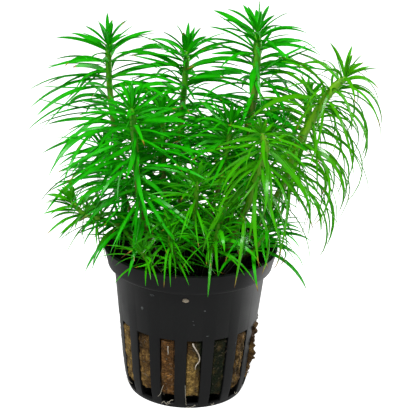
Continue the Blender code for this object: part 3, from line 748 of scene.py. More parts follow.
def grow_plant():
    """Every shoot with its path and all its leaves."""
    crowd = Crowd()
    paths = [smooth_path(shoot.route) for shoot in SHOOTS]
    for owner, path in enumerate(paths):
        for low, high in zip(path[::STEM_TEST_STEPS], path[STEM_TEST_STEPS::STEM_TEST_STEPS]):
            crowd.add(owner, low, high, STEM_FOOT_RADIUS, STEM_FOOT_RADIUS)
        crowd.add(owner, path[-1], bud_tip(SHOOTS[owner], path), STEM_TIP_RADIUS, LEAF_TIP_HALF)
    chance = random.Random(SEED)
    solid = []
    for owner, (shoot, path) in enumerate(zip(SHOOTS, paths)):
        solid.append(grow_solid_leaves(shoot, owner, path, crowd, chance))
    more = random.Random(MORE_SEED)
    plant = []
    for owner, (shoot, path, (leaves, sides)) in enumerate(zip(SHOOTS, paths, solid)):
        thin = grow_more_leaves(shoot, owner, path, sides, crowd, more)
        plant.append((shoot, path, leaves, thin, grow_bud(shoot, path, more)))
    return plant


# Blades and stems as lines, which a node tree sweeps into leaves and stems

def blade_shape(t, fullness):
    """How wide a blade is at a share of its length, from 0 to 1; a fuller blade stays wide for longer."""
    return min(1, (t + 0.06) / 0.36) ** 0.45 * (1 - t**fullness) ** 0.85


def blade_halves(width, fullness):
    """A blade's half widths from its foot to its point."""
    shares = [step / BLADE_STEPS for step in range(BLADE_STEPS)]
    return [max(width / 2 * blade_shape(share, fullness), LEAST_HALF) for share in shares] + [POINT_HALF]


def blade_line(leaf, width, fullness, chance, yellow):
    """A leaf's midrib, arched between its foot and its tip, with its twist and its half widths."""
    sway = chance.uniform(-BLADE_SWAY, BLADE_SWAY) * leaf.length
    arch = chance.uniform(*BLADE_ARCH) * leaf.length
    upward = leaf.side.cross((leaf.tip - leaf.start).normalized())
    twist = math.radians(chance.uniform(-BLADE_TWIST, BLADE_TWIST))
    tilt = math.radians(chance.uniform(-BLADE_TILT, BLADE_TILT))
    points = []
    for step in range(BLADE_STEPS + 1):
        t = step / BLADE_STEPS
        aside = leaf.side * sway * math.sin(math.pi * t) * t
        points.append(leaf_point(leaf, t) + aside + upward * arch * 4 * t * (1 - t))
    sides = []
    for step in range(BLADE_STEPS + 1):
        ahead = points[min(step + 1, BLADE_STEPS)] - points[max(step - 1, 0)]
        turn = Matrix.Rotation(tilt + twist * step / BLADE_STEPS, 3, ahead.normalized())
        sides.append(turn @ -leaf.side)
    tone = chance.random()
    dry = chance.uniform(*DRY_TIP) if chance.random() < DRY_SHARE else 0
    return Line(points, sides, blade_halves(width, fullness), tone, yellow, dry, False)


def lone_leaf_line(path, lone, chance, yellow):
    """A leaf that stands out, drawn from its stem through its middle to its tip and turned outwards."""
    start = place_on(path, lone.from_tip)[0]
    middle = Vector(lone.middle)
    tip = Vector(lone.tip)
    control = middle * 2 - (start + tip) / 2
    facing = Vector((middle.x, middle.y, 0)).normalized() + Vector((0, 0, 0.8))
    points = []
    sides = []
    for step in range(BLADE_STEPS + 1):
        t = step / BLADE_STEPS
        points.append(start * (1 - t) ** 2 + control * 2 * t * (1 - t) + tip * t**2)
        ahead = (control - start) * (1 - t) + (tip - control) * t
        sides.append(ahead.cross(facing).normalized())
    halves = blade_halves(lone.width, LONE_FULLNESS)
    return Line(points, sides, halves, chance.random(), yellow, lone.dry, False)


def blade_width(leaf, breadth, solid, chance):
    """The width of a blade at its widest: some of the leaves that reach furthest are broad."""
    if solid and chance.random() < BROAD_SHARE:
        return breadth * chance.uniform(*BROAD_WIDTH)
    if solid:
        return breadth * chance.uniform(*USUAL_WIDTH)
    return breadth * (0.8 + 0.1 * leaf.age) * chance.uniform(*THIN_WIDTH)


def stem_half(from_tip, thickness):
    """A stem's half width: slim at the tip, thickest under the crown and slimmer again lower down."""
    under_crown = min(1, from_tip / CROWN_END)
    lower = min(1, max(0, (from_tip - SLIMMER_FROM) / SLIMMER_OVER))
    return thickness * (TIP_SHARE + (1 - TIP_SHARE) * under_crown - SLIMMER_BY * lower)


def stem_line(shoot, path, dress):
    """A shoot's stem, a little thicker at each whorl, with its foot in the wool."""
    total = path_length(path)
    whorls = whorl_distances(shoot.leafy)
    steps = max(FEWEST_STEM_STEPS, round(total * DRAWN_STEPS_PER_MM))
    points = []
    halves = []
    for step in range(steps + 1):
        from_tip = total * (1 - step / steps)
        nearest = min(abs(from_tip - whorl) for whorl in whorls)
        swell = 1 + SWELLING * math.exp(-((nearest / SWELLING_REACH) ** 2))
        points.append(place_on(path, from_tip)[0])
        halves.append(stem_half(from_tip, dress.thickness) * swell)
    points.insert(0, points[0] - Vector((0, 0, FOOT_IN_WOOL)))
    halves.insert(0, halves[0])
    halves[-1] = STEM_TIP_HALF
    sides = [Vector((0, 1, 0))] * len(points)
    return Line(points, sides, halves, 0.5, dress.yellow, 0, True)


def line_mesh(name, lines):
    """One mesh of open lines whose points carry what the node tree and the materials read."""
    points = []
    edges = []
    marks = {key: [] for key in ("half_width", "leaf_along", "leaf_tone", "leaf_yellow", "leaf_dry")}
    sides = []
    stems = []
    for line in lines:
        first = len(points)
        last = len(line.points) - 1
        edges.extend((first + i, first + i + 1) for i in range(last))
        for i, (point, side, half) in enumerate(zip(line.points, line.sides, line.halves)):
            points.append(point * METRES_PER_MM)
            sides.extend(side)
            stems.append(line.stem)
            for key, value in zip(marks, (half * METRES_PER_MM, i / last, line.tone, line.yellow, line.dry)):
                marks[key].append(value)
    mesh = bpy.data.meshes.new(name)
    mesh.from_pydata(points, edges, [])
    add_marks(mesh, marks)
    mesh.attributes.new("blade_side", "FLOAT_VECTOR", "POINT").data.foreach_set("vector", sides)
    mesh.attributes.new("is_stem", "BOOLEAN", "POINT").data.foreach_set("value", stems)
    return mesh


def add_marks(mesh, marks):
    """Gives each point of a mesh its values under their names."""
    for key, values in marks.items():
        mesh.attributes.new(key, "FLOAT", "POINT").data.foreach_set("value", values)


# Small helpers for node trees

def feed(tree, socket, value):
    """Links or sets one input socket."""
    if isinstance(value, bpy.types.NodeSocket):
        tree.links.new(value, socket)
    else:
        socket.default_value = value


def put(tree, kind, inputs=None, **settings):
    """A new node with its settings and its inputs, by name or number."""
    made = tree.nodes.new(kind)
    for name, value in settings.items():
        setattr(made, name, value)
    for name, value in (inputs or {}).items():
        feed(tree, made.inputs[name], value)
    return made


def add_sockets(tree, direction, *sockets):
    """A tree's named inputs or outputs, each with its kind and, for some, its first value."""
    for name, kind, *first in sockets:
        made = tree.interface.new_socket(name, in_out=direction, socket_type="NodeSocket" + kind)
        if first:
            made.default_value = first[0]


def set_input(modifier, name, value):
    """Sets a node modifier's named input by its socket's identifier."""
    for item in modifier.node_group.interface.items_tree:
        if item.item_type == "SOCKET" and item.in_out == "INPUT" and item.name == name:
            modifier[item.identifier] = value
            return
    raise KeyError(name)


def named(tree, name, kind="FLOAT"):
    return put(tree, "GeometryNodeInputNamedAttribute", {"Name": name}, data_type=kind).outputs["Attribute"]


def sweep(tree, lines, section, finish):
    """Draws a section along lines, as wide as each of their points says, and gives it a finish."""
    inputs = {"Curve": lines, "Profile Curve": section, "Scale": named(tree, "half_width"), "Fill Caps": True}
    swept = put(tree, "GeometryNodeCurveToMesh", inputs).outputs[0]
    return put(tree, "GeometryNodeSetMaterial", {"Geometry": swept, "Material": finish}).outputs[0]


def blade_section(tree, keel, groove):
    """A flat kite across a blade, whose points know how far they lie from the midrib."""
    sizes = {"Width": 2.0, "Bottom Height": keel, "Top Height": groove}
    section = put(tree, "GeometryNodeCurvePrimitiveQuadrilateral", sizes, mode="KITE").outputs[0]
    place = put(tree, "ShaderNodeSeparateXYZ", {0: put(tree, "GeometryNodeInputPosition").outputs[0]})
    across = {"Geometry": section, "Name": "leaf_across", "Value": place.outputs["X"]}
    return put(tree, "GeometryNodeStoreNamedAttribute", across, data_type="FLOAT").outputs[0]


def shoot_tree():
    """Sweeps leaf blades and stems along lines."""
    tree = bpy.data.node_groups.new("leaves_and_stems_on_lines", "GeometryNodeTree")
    add_sockets(
        tree,
        "INPUT",
        ("Lines", "Geometry"),
        ("Blade Groove", "Float", BLADE_GROOVE),
        ("Blade Keel", "Float", BLADE_KEEL),
        ("Stem Sides", "Int", DRAWN_STEM_SIDES),
        ("Leaf Finish", "Material"),
        ("Stem Finish", "Material"),
    )
    add_sockets(tree, "OUTPUT", ("Shoot", "Geometry"))
    given = put(tree, "NodeGroupInput").outputs
    curves = put(tree, "GeometryNodeMeshToCurve", {"Mesh": given["Lines"]}).outputs["Curve"]
    wanted = {"Geometry": curves, "Selection": named(tree, "is_stem", "BOOLEAN")}
    split = put(tree, "GeometryNodeSeparateGeometry", wanted, domain="CURVE").outputs
    facing = {"Curve": split["Inverted"], "Normal": named(tree, "blade_side", "FLOAT_VECTOR")}
    midribs = put(tree, "GeometryNodeSetCurveNormal", facing, mode="FREE").outputs[0]
    section = blade_section(tree, given["Blade Keel"], given["Blade Groove"])
    blades = sweep(tree, midribs, section, given["Leaf Finish"])
    circle = {"Resolution": given["Stem Sides"], "Radius": 1.0}
    round_section = put(tree, "GeometryNodeCurvePrimitiveCircle", circle).outputs[0]
    stems = sweep(tree, split["Selection"], round_section, given["Stem Finish"])
    both = put(tree, "GeometryNodeJoinGeometry")
    tree.links.new(stems, both.inputs[0])
    tree.links.new(blades, both.inputs[0])
    real = put(tree, "GeometryNodeRealizeInstances", {"Geometry": both.outputs[0]})
    put(tree, "NodeGroupOutput", {"Shoot": real.outputs[0]})
    return tree


# Pieces

def new_piece(name, data):
    made = bpy.data.objects.new(name, data)
    bpy.context.scene.collection.objects.link(made)
    return made


def plain_mesh(made):
    """The mesh of an object as its modifiers leave it."""
    graph = bpy.context.evaluated_depsgraph_get()
    return bpy.data.meshes.new_from_object(made.evaluated_get(graph))


def settle(made):
    """Turns an object's modifiers into its plain mesh."""
    mesh = plain_mesh(made)
    made.modifiers.clear()
    made.data = mesh


def smooth(made, sharp_from):
    made.data.shade_smooth()
    made.data.set_sharp_from_angle(angle=math.radians(sharp_from))


def carry(piece, slot, *nodes):
    """Lets a piece ride on the object's one body and hides the solids that it stands for; the slot that names
    its finish is not used.
    """
    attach(piece, "root")
    if nodes:
        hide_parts(*nodes)


def swept_piece(name, lines, tree, inputs):
    """A piece drawn by the node tree along lines, with these of the tree's inputs."""
    piece = new_piece(name, line_mesh(name + "_lines", lines))
    grown = piece.modifiers.new("Swept", "NODES")
    grown.node_group = tree
    for key, value in inputs.items():
        set_input(grown, key, value)
    settle(piece)
    smooth(piece, 50)
    return piece


def shoot_lines(shoot, path, leaves, thin, bud, chance):
    """A shoot's stem and leaves as lines: the solid leaves, narrower ones, the bud's and the lone ones."""
    dress = DRESS.get(shoot.name, Dress())
    lines = [stem_line(shoot, path, dress)]
    thin = [leaf for leaf in thin if chance.random() < dress.drawn]
    for leaf in leaves + thin:
        width = blade_width(leaf, dress.breadth, leaf in leaves, chance)
        lines.append(blade_line(leaf, width, chance.uniform(*FULLNESS), chance, dress.yellow))
    for leaf in bud:
        width = dress.breadth * chance.uniform(*BUD_WIDTH)
        lines.append(blade_line(leaf, width, BUD_FULLNESS, chance, dress.yellow))
    for lone in LONE_LEAVES.get(shoot.name, ()):
        lines.append(lone_leaf_line(path, lone, chance, dress.yellow))
    return lines


def make_shoots(tree, leaf, stem):
    chance = random.Random(MORE_SEED + 1)
    for shoot, *growth in grow_plant():
        lines = shoot_lines(shoot, *growth, chance)
        piece = swept_piece("leafy_" + shoot.name, lines, tree, {"Leaf Finish": leaf, "Stem Finish": stem})
        carry(piece, "leaf_green", shoot.name)


def pot_radius(height):
    """The radius of the pot's outer side below its rim."""
    radii, heights = zip(*POT_SIDE)
    return float(np.interp(height, heights, radii))


def past_front(x, y):
    """How many slots a point lies past the front one, counted to the right."""
    return (math.degrees(math.atan2(y, x)) + 90 - FIRST_SLOT_FROM_FRONT) / SLOT_PITCH


def nearest_slot(x, y):
    return round(past_front(x, y)) % SLOT_COUNT


def slot_column(x, y):
    """How many columns a point lies past the middle of the nearest slot."""
    return ((past_front(x, y) + 0.5) % 1 - 0.5) * COLUMNS_PER_SLOT


def on_wall(slot, along, height, lift):
    """A point on the pot's side, at a distance along the wall from a slot's middle."""
    radius = pot_radius(height)
    angle = math.radians(FIRST_SLOT_FROM_FRONT + slot * SLOT_PITCH - 90) + along / radius
    radius += lift
    return radius * math.cos(angle), radius * math.sin(angle), height


def turned_mesh(name, profile, steps):
    """A profile of radius and height turned round the Z axis, from the outer side's top downwards."""
    mesh = bpy.data.meshes.new(name)
    points = [(radius * METRES_PER_MM, 0, height * METRES_PER_MM) for radius, height in profile]
    mesh.from_pydata(points, [(i, i + 1) for i in range(len(points) - 1)], [])
    made = new_piece(name, mesh)
    screw = made.modifiers.new("Turn", "SCREW")
    screw.steps = steps
    screw.render_steps = steps
    screw.use_merge_vertices = True
    screw.merge_threshold = MERGE_DISTANCE
    turned = plain_mesh(made)
    bpy.data.objects.remove(made)
    return turned


def cut_slots(mesh):
    """Takes the faces in the slots out of the pot's turned side."""
    bm = bmesh.new()
    bm.from_mesh(mesh)
    slots = []
    for face in bm.faces:
        centre = face.calc_center_median() / METRES_PER_MM
        if SLOT_BOTTOM_Z < centre.z < SLOT_TOP_Z and abs(slot_column(centre.x, centre.y)) < OPEN_COLUMNS / 2:
            slots.append(face)
    bmesh.ops.delete(bm, geom=slots, context="FACES")
    bm.to_mesh(mesh)
    bm.free()


def make_pot(finish, shaded_inner_finish):
    """The thin shell with its slanted rim, its ledge and its upright slots."""
    profile = [*reversed(POT_RIM), *reversed(POT_SIDE), (FLOOR_RADIUS, 0), (0, 0)]
    mesh = turned_mesh("pot_shell", profile, SLOT_COUNT * COLUMNS_PER_SLOT)
    half_column = math.pi / SLOT_COUNT / COLUMNS_PER_SLOT
    mesh.transform(Matrix.Rotation(math.radians(FIRST_SLOT_FROM_FRONT) + half_column, 4, "Z"))
    cut_slots(mesh)
    mesh.materials.append(finish)
    mesh.materials.append(shaded_inner_finish)
    pot = new_piece("slotted_pot", mesh)
    shell = pot.modifiers.new("Wall", "SOLIDIFY")
    shell.thickness = POT_WALL * METRES_PER_MM
    shell.offset = -1
    shell.use_even_offset = True
    shell.material_offset = 1
    soft = pot.modifiers.new("Soft edges", "BEVEL")
    soft.width = POT_EDGE * METRES_PER_MM
    soft.segments = 2
    soft.limit_method = "ANGLE"
    soft.angle_limit = math.radians(40)
    settle(pot)
    smooth(pot, 35)
    carry(pot, "black_plastic", "net_pot")


def make_speck(name, slot, along, height, size, finish):
    """A bit of grit or dust that clings to the pot's side, as a flat uneven lump."""
    bm = bmesh.new()
    bmesh.ops.create_icosphere(bm, subdivisions=3, radius=1)
    outward = Vector(on_wall(slot, along, height, 0.0)).to_2d().normalized().to_3d()
    across = Vector((0, 0, 1)).cross(outward)
    middle = Vector(on_wall(slot, along, height, SPECK_LIFT))
    for vertex in bm.verts:
        x, y, z = vertex.co * (1 + 0.25 * noise.noise(vertex.co * 1.7 + middle))
        place = middle + across * x * size[0] + Vector((0, 0, z * size[1])) + outward * y * size[2]
        vertex.co = place * METRES_PER_MM
    mesh = bpy.data.meshes.new(name)
    bm.to_mesh(mesh)
    bm.free()
    mesh.materials.append(finish)
    speck = new_piece(name, mesh)
    smooth(speck, 80)
    carry(speck, "rockwool")


def make_specks(kind, specks, finish):
    for number, (slot, along, height, *size) in enumerate(specks, 1):
        make_speck(f"{kind}_{number}", slot, along, height, size, finish)


def blend_step(low, high, value):
    """Rises softly from 0 at one value to 1 at the other."""
    t = min(max((value - low) / (high - low), 0), 1)
    return t * t * (3 - 2 * t)


def lumps(x, y, z, scale=1.0):
    """Smooth noise between about -1 and 1."""
    return noise.noise(Vector((x, y, z)) * scale)


def wool_in(slot):
    return WOOL_IN_SLOT.get(slot, Wool())


def wool_spot(x, y, z):
    """A point of the plug: its slot, how far it shows there, where the void under it ends, its grain."""
    slot = nearest_slot(x, y)
    shows = blend_step(1.0, 0.84, abs(slot_column(x, y)) / (OPEN_COLUMNS / 2))
    void_top = VOID_TOP_Z + 1.1 * lumps(x * 0.35, y * 0.35, slot * 3.1)
    grain = lumps(x, y, z * 0.6, 0.9) + 0.5 * lumps(x, y, z * 0.5, 2.6)
    return Spot(x, y, z, slot, shows, void_top, grain)


def wool_push(spot, void):
    """How far the wool stands out past the plug's turned side, in millimetres."""
    x, y, z = spot[:3]
    bulge = wool_in(spot.slot).bulge
    above_void = blend_step(spot.void_top - 0.6, spot.void_top + 0.8, z)
    pressed = spot.shows * above_void * blend_step(SLOT_TOP_Z, SLOT_TOP_Z - 1.2, z)
    push = pressed * (0.78 + 0.3 * spot.grain)
    if bulge:
        swell = max(0.55 + 0.9 * lumps(x * 0.25, y * 0.25, z * 0.35), 0.15)
        ragged = 1 + 0.9 * lumps(x, y, z, 1.3)
        push += bulge * pressed * swell * ragged * blend_step(5, 10, z)
    return push + 0.08 * spot.grain - VOID_DEPTH * void * spot.shows


def wool_tone(spot):
    """How light the wool is: its slot's own tone, with patches and streaks, darkened at the top of the slot
    by painted shade.
    """
    x, y, z = spot[:3]
    wool = wool_in(spot.slot)
    patch = 0.9 * lumps(x * 0.35, y * 0.35, z * 0.3)
    streak = 1.3 * lumps(x * 1.5, y * 1.5, z * 0.4 + spot.slot)
    # painted shade darkens the top of each slot's wool
    return max(0, wool.tone + patch + streak - wool.dark_top * blend_step(15, 24, z))


def wool_moss(spot):
    """How mossy the wool is; in the front slot the moss grows to the right and upwards."""
    moss = wool_in(spot.slot).moss + 0.5 * lumps(spot.x, spot.y, spot.z, 0.35)
    if spot.slot == 0:
        moss += 0.16 * slot_column(spot.x, spot.y) - 0.25 + 0.05 * (spot.z - 14)
    return min(max(moss, 0), 1)


def make_wool(finish):
    """The wool plug, pressed a little way into every slot, shrunken and with painted shade at its foot, and
    with painted shade on its top.
    """
    heights = np.linspace(PLUG_TOP_Z, PLUG_SIDE_FOOT_Z, PLUG_ROWS)
    side = [(pot_radius(z) - POT_WALL - PLUG_GAP, z) for z in heights]
    profile = [*((radius, PLUG_TOP_Z) for radius in PLUG_TOP_RADII), *side, *PLUG_FOOT]
    mesh = turned_mesh("wool", profile, SLOT_COUNT * PLUG_COLUMNS)
    marks = {key: [] for key in ("wool_moss", "wool_void_shade", "wool_tone", "wool_red")}
    for vertex in mesh.vertices:
        spot = wool_spot(*vertex.co / METRES_PER_MM)
        radius = math.hypot(spot.x, spot.y)
        # painted shade: the void at the plug's foot is coloured near black
        void = blend_step(spot.void_top + 0.5, spot.void_top - 0.3, spot.z)
        moss = 0.0
        if spot.z > PLUG_TOP_Z - 0.1:
            vertex.co.z += 0.4 * spot.grain * METRES_PER_MM
            # painted shade on the plug's top, inside the pot's mouth
            void = SHADE_ON_TOP
        elif radius >= PLUG_CORE:
            stretch = 1 + wool_push(spot, void) / radius
            vertex.co.x *= stretch
            vertex.co.y *= stretch
            moss = wool_moss(spot)
        for key, value in zip(marks, (moss, void, wool_tone(spot), wool_in(spot.slot).red)):
            marks[key].append(value)
    add_marks(mesh, marks)
    mesh.materials.append(finish)
    mesh.update()
    wool = new_piece("wool_plug", mesh)
    smooth(wool, 80)
    carry(wool, "rockwool", "rockwool_plug")


def fibre_line(chance):
    """A short curled fibre that lies on the wool in a slot."""
    slot = chance.randrange(SLOT_COUNT)
    wool = wool_in(slot)
    height = chance.uniform(FIBRE_LOWEST_Z, SLOT_TOP_Z - 0.8)
    along = chance.uniform(-2.0, 2.0) * pot_radius(height) / BODY_TOP_RADIUS
    heading = chance.uniform(0, math.tau)
    curl = chance.uniform(-0.9, 0.9)
    step = chance.uniform(0.15, 0.45)
    lift = chance.uniform(-0.35, 0.1) + wool.bulge * 0.4 - FIBRE_SUNK
    points = []
    for number in range(FIBRE_POINTS):
        rise = FIBRE_RISE * math.sin(number / (FIBRE_POINTS - 1) * math.pi)
        points.append(Vector(on_wall(slot, along, height, lift + rise)))
        along += step * math.cos(heading)
        height += step * math.sin(heading)
        heading += curl
    thickness = chance.uniform(0.025, 0.055)
    tone = chance.random() ** 3 * 0.22 * (1 - wool.moss)
    return even_line(points, thickness, tone)


def pale_line(slot, *route):
    """A pale line: one of the threads at the foot of a slot, and in one case the painted highlight along a
    bar's edge.
    """
    return even_line(smooth_path([on_wall(slot, *place) for place in route]), PALE_LINE_HALF, PALE_LINE_TONE)


def even_line(points, half, tone):
    """A round line of one thickness."""
    return Line(points, [Vector((0, 0, 1))] * len(points), [half] * len(points), tone, 0, 0, True)


def make_fibres(tree, finish):
    chance = random.Random(FIBRE_SEED)
    lines = [fibre_line(chance) for number in range(FIBRES)]
    # the pale lines include the painted highlight along a bar's edge
    lines += [pale_line(*pale_route) for pale_route in THREADS_AND_EDGE_HIGHLIGHT]
    inputs = {"Stem Sides": FIBRE_SIDES, "Stem Finish": finish}
    carry(swept_piece("wool_fibres_and_edge_highlight", lines, tree, inputs), "rockwool")


def make_root(name, node, slot, route, lift, half, finish):
    """A root that lies in a slot and thins towards its end."""
    curve = bpy.data.curves.new(name, "CURVE")
    curve.dimensions = "3D"
    curve.bevel_depth = half * METRES_PER_MM
    curve.bevel_resolution = 2
    curve.use_fill_caps = True
    curve.resolution_u = 5
    points = curve.splines.new("BEZIER").bezier_points
    points.add(len(route) - 1)
    for number, (point, (along, height)) in enumerate(zip(points, route)):
        point.co = Vector(on_wall(slot, along, height, lift)) * METRES_PER_MM
        point.handle_left_type = "AUTO"
        point.handle_right_type = "AUTO"
        point.radius = 1 - ROOT_TAPER * number / (len(route) - 1)
    drawn = new_piece(name, curve)
    mesh = plain_mesh(drawn)
    bpy.data.objects.remove(drawn)
    mesh.materials.clear()
    mesh.materials.append(finish)
    root = new_piece(name, mesh)
    smooth(root, 60)
    carry(root, "root_white", node)


# Finishes

def colour_in(value):
    """A colour with its alpha, or a socket as it is."""
    return (*value, 1) if isinstance(value, tuple) else value


def blend_colours(tree, share, first, second):
    inputs = {0: share, 6: colour_in(first), 7: colour_in(second)}
    return put(tree, "ShaderNodeMix", inputs, data_type="RGBA").outputs[2]


def layered(tree, colour, *layers):
    """A colour with others laid over it in turn, each by its own share."""
    for share, over in layers:
        colour = blend_colours(tree, share, colour, over)
    return colour


def maths(tree, operation, *values):
    return put(tree, "ShaderNodeMath", dict(enumerate(values)), operation=operation).outputs[0]


def times(tree, first, second):
    return maths(tree, "MULTIPLY", first, second)


def plus(tree, first, second):
    return maths(tree, "ADD", first, second)


def ranged(tree, value, low, high, to_low=0.0, to_high=1.0):
    """A value moved softly from one range to another."""
    inputs = {"Value": value, "From Min": low, "From Max": high, "To Min": to_low, "To Max": to_high}
    return put(tree, "ShaderNodeMapRange", inputs, interpolation_type="SMOOTHSTEP").outputs["Result"]


def mark(tree, name):
    return put(tree, "ShaderNodeAttribute", attribute_name=name).outputs["Fac"]


def object_place(tree):
    return put(tree, "ShaderNodeTexCoord").outputs["Object"]


def mottle_group():
    """Soft patches and fine grain on Object coordinates, for every finish."""
    group = bpy.data.node_groups.new("mottle", "ShaderNodeTree")
    add_sockets(
        group,
        "INPUT",
        ("Patch Scale", "Float", 300.0),
        ("Grain Scale", "Float", 3000.0),
        ("Stretch", "Vector", (1.0, 1.0, 1.0)),
    )
    add_sockets(group, "OUTPUT", ("Patches", "Float"), ("Grain", "Float"))
    given = put(group, "NodeGroupInput").outputs
    stretch = {0: object_place(group), 1: given["Stretch"]}
    drawn = put(group, "ShaderNodeVectorMath", stretch, operation="MULTIPLY").outputs[0]
    ends = put(group, "NodeGroupOutput")
    for end, scale, detail in (("Patches", "Patch Scale", 3.0), ("Grain", "Grain Scale", 2.0)):
        cloud = put(group, "ShaderNodeTexNoise", {"Vector": drawn, "Scale": given[scale], "Detail": detail})
        feed(group, ends.inputs[end], ranged(group, cloud.outputs[0], 0.3, 0.7))


def mottle(tree, patch_scale, grain_scale, stretch=(1.0, 1.0, 1.0)):
    inputs = {"Patch Scale": patch_scale, "Grain Scale": grain_scale, "Stretch": stretch}
    made = put(tree, "ShaderNodeGroup", node_tree=bpy.data.node_groups["mottle"])
    for name, value in inputs.items():
        made.inputs[name].default_value = value
    return made.outputs["Patches"], made.outputs["Grain"]


def bump(tree, height, strength, distance):
    inputs = {"Height": height, "Strength": strength, "Distance": distance}
    return put(tree, "ShaderNodeBump", inputs).outputs["Normal"]


def new_finish(name):
    material = bpy.data.materials.new(name)
    material.use_nodes = True
    return material, material.node_tree


def shaded(material, values):
    """A material whose shader has these values and links in its own sockets."""
    tree = material.node_tree
    for name, value in values.items():
        feed(tree, tree.nodes["Principled BSDF"].inputs[name], value)
    return material


def leaf_finish():
    """Bright green with a paler rib and foot, yellower on some shoots and dry at some tips."""
    material, tree = new_finish("leaf_blade")
    patches, grain = mottle(tree, 260.0, 2600.0)
    along = mark(tree, "leaf_along")
    across = maths(tree, "ABSOLUTE", mark(tree, "leaf_across"))
    tone = plus(tree, times(tree, mark(tree, "leaf_tone"), 0.7), times(tree, patches, 0.3))
    dry = mark(tree, "leaf_dry")
    has_dry_tip = maths(tree, "GREATER_THAN", dry, 0.01)
    past_green = plus(tree, maths(tree, "SUBTRACT", along, 1.0), dry)
    colour = layered(
        tree,
        blend_colours(tree, tone, LEAF_DEEP, LEAF_BRIGHT),
        (mark(tree, "leaf_yellow"), LEAF_YELLOWED),
        (ranged(tree, along, 0.3, 0.0, 0.0, 0.4), LEAF_FOOT),
        (ranged(tree, across, 0.3, 0.02, 0.0, 0.3), LEAF_RIB),
        (times(tree, ranged(tree, past_green, -0.06, 0.0), has_dry_tip), LEAF_FADED),
        (times(tree, ranged(tree, past_green, 0.0, 0.05), has_dry_tip), LEAF_DRY),
    )
    veins = maths(tree, "SINE", times(tree, across, 16.0))
    return shaded(material, {
        "Base Color": colour,
        "Specular IOR Level": 0.1,
        "Coat Weight": 0.18,
        "Coat Roughness": 0.18,
        "Roughness": ranged(tree, grain, 0.0, 1.0, 0.28, 0.42),
        "Normal": bump(tree, plus(tree, veins, grain), 0.25, 0.00005),
    })


def stem_finish():
    """Olive brown below, fresh green or lime towards the tip, and painted dark with shade where it stands in
    the pot's mouth near the wool.
    """
    material, tree = new_finish("stem_skin")
    patches, grain = mottle(tree, 500.0, 4000.0, (1.0, 1.0, 0.25))
    yellow = mark(tree, "leaf_yellow")
    old = blend_colours(tree, patches, STEM_OLIVE, STEM_BROWN)
    fresh = layered(
        tree,
        blend_colours(tree, yellow, STEM_GREEN, STEM_LIME),
        (times(tree, patches, 0.5), STEM_MOTTLE),
    )
    youth = plus(tree, mark(tree, "leaf_along"), times(tree, yellow, 0.7))
    height = put(tree, "ShaderNodeSeparateXYZ", {0: object_place(tree)}).outputs["Z"]
    # painted shade: the stems are darkened low down, inside the pot's mouth
    painted_shade_in_pot = ranged(tree, height, 0.057, 0.045)
    colour = layered(tree, old, (ranged(tree, youth, 0.55, 0.92), fresh), (painted_shade_in_pot, STEM_PAINTED_SHADE))
    return shaded(material, {
        "Base Color": colour,
        "Roughness": 0.45,
        "Normal": bump(tree, grain, 0.3, 0.0001),
    })


def pot_finish():
    material, tree = new_finish("black_moulded_plastic")
    patches, grain = mottle(tree, 60.0, 5000.0)
    return shaded(material, {
        "Base Color": blend_colours(tree, patches, POT_DARK, POT_PALE),
        "Specular IOR Level": 0.24,
        "Roughness": ranged(tree, patches, 0.0, 1.0, 0.36, 0.44),
        "Normal": bump(tree, grain, 0.12, 0.00004),
    })


def shaded_inner_pot_finish():
    """The pot's inside, dull, and painted near black with the shade that falls in it."""
    material, tree = new_finish("painted_shade_inside_of_pot")
    patches, grain = mottle(tree, 200.0, 5000.0)
    return shaded(material, {
        "Base Color": blend_colours(tree, patches, INSIDE_SHADE_DARK, INSIDE_SHADE_PALE),
        "Specular IOR Level": 0.04,
        "Roughness": ranged(tree, grain, 0.0, 1.0, 0.7, 0.9),
    })


def wool_finish():
    """Ochre or reddish wool with dark crumbs, under moss and the painted shade of the void and of the plug's
    top.
    """
    material, tree = new_finish("wet_rockwool")
    patches, grain = mottle(tree, 220.0, 2600.0, (1.0, 1.0, 0.6))
    crumbs = mottle(tree, 900.0, 6000.0, (1.0, 1.0, 1.3))[0]
    tone = plus(tree, times(tree, patches, 0.3), times(tree, mark(tree, "wool_tone"), 0.75))
    colour = layered(
        tree,
        blend_colours(tree, tone, WOOL_DARK, WOOL_OCHRE),
        (mark(tree, "wool_red"), blend_colours(tree, tone, RED_WOOL_DARK, RED_WOOL_PALE)),
        (times(tree, crumbs, 0.55), WOOL_CRUMB),
        (times(tree, grain, 0.45), WOOL_GRAIN),
        (mark(tree, "wool_moss"), WOOL_MOSS),
        # painted shade of the void and of the plug's top
        (mark(tree, "wool_void_shade"), WOOL_PAINTED_SHADE),
    )
    relief = plus(tree, grain, times(tree, crumbs, -1.5))
    return shaded(material, {
        "Base Color": colour,
        "Roughness": 0.8,
        "Specular IOR Level": 0.2,
        "Normal": bump(tree, relief, 0.9, 0.0005),
    })


def fibre_and_highlight_finish():
    """Loose wool fibres and threads, from brown to nearly white by their tone, and the nearly white painted
    highlight along a bar's edge.
    """
    material, tree = new_finish("wool_fibre_and_painted_highlight")
    patches, grain = mottle(tree, 400.0, 3000.0)
    tone = plus(tree, mark(tree, "leaf_tone"), times(tree, patches, 0.15))
    return shaded(material, {
        "Base Color": blend_colours(tree, tone, FIBRE_BROWN, FIBRE_AND_HIGHLIGHT_PALE),
        "Specular IOR Level": 0.15,
        "Roughness": ranged(tree, grain, 0.0, 1.0, 0.5, 0.7),
    })


def grit_finish():
    material, tree = new_finish("cream_grit")
    patches, grain = mottle(tree, 1500.0, 6000.0)
    return shaded(material, {
        "Base Color": blend_colours(tree, patches, GRIT_DARK, GRIT_PALE),
        "Roughness": 0.7,
        "Normal": bump(tree, grain, 0.6, 0.0001),
    })


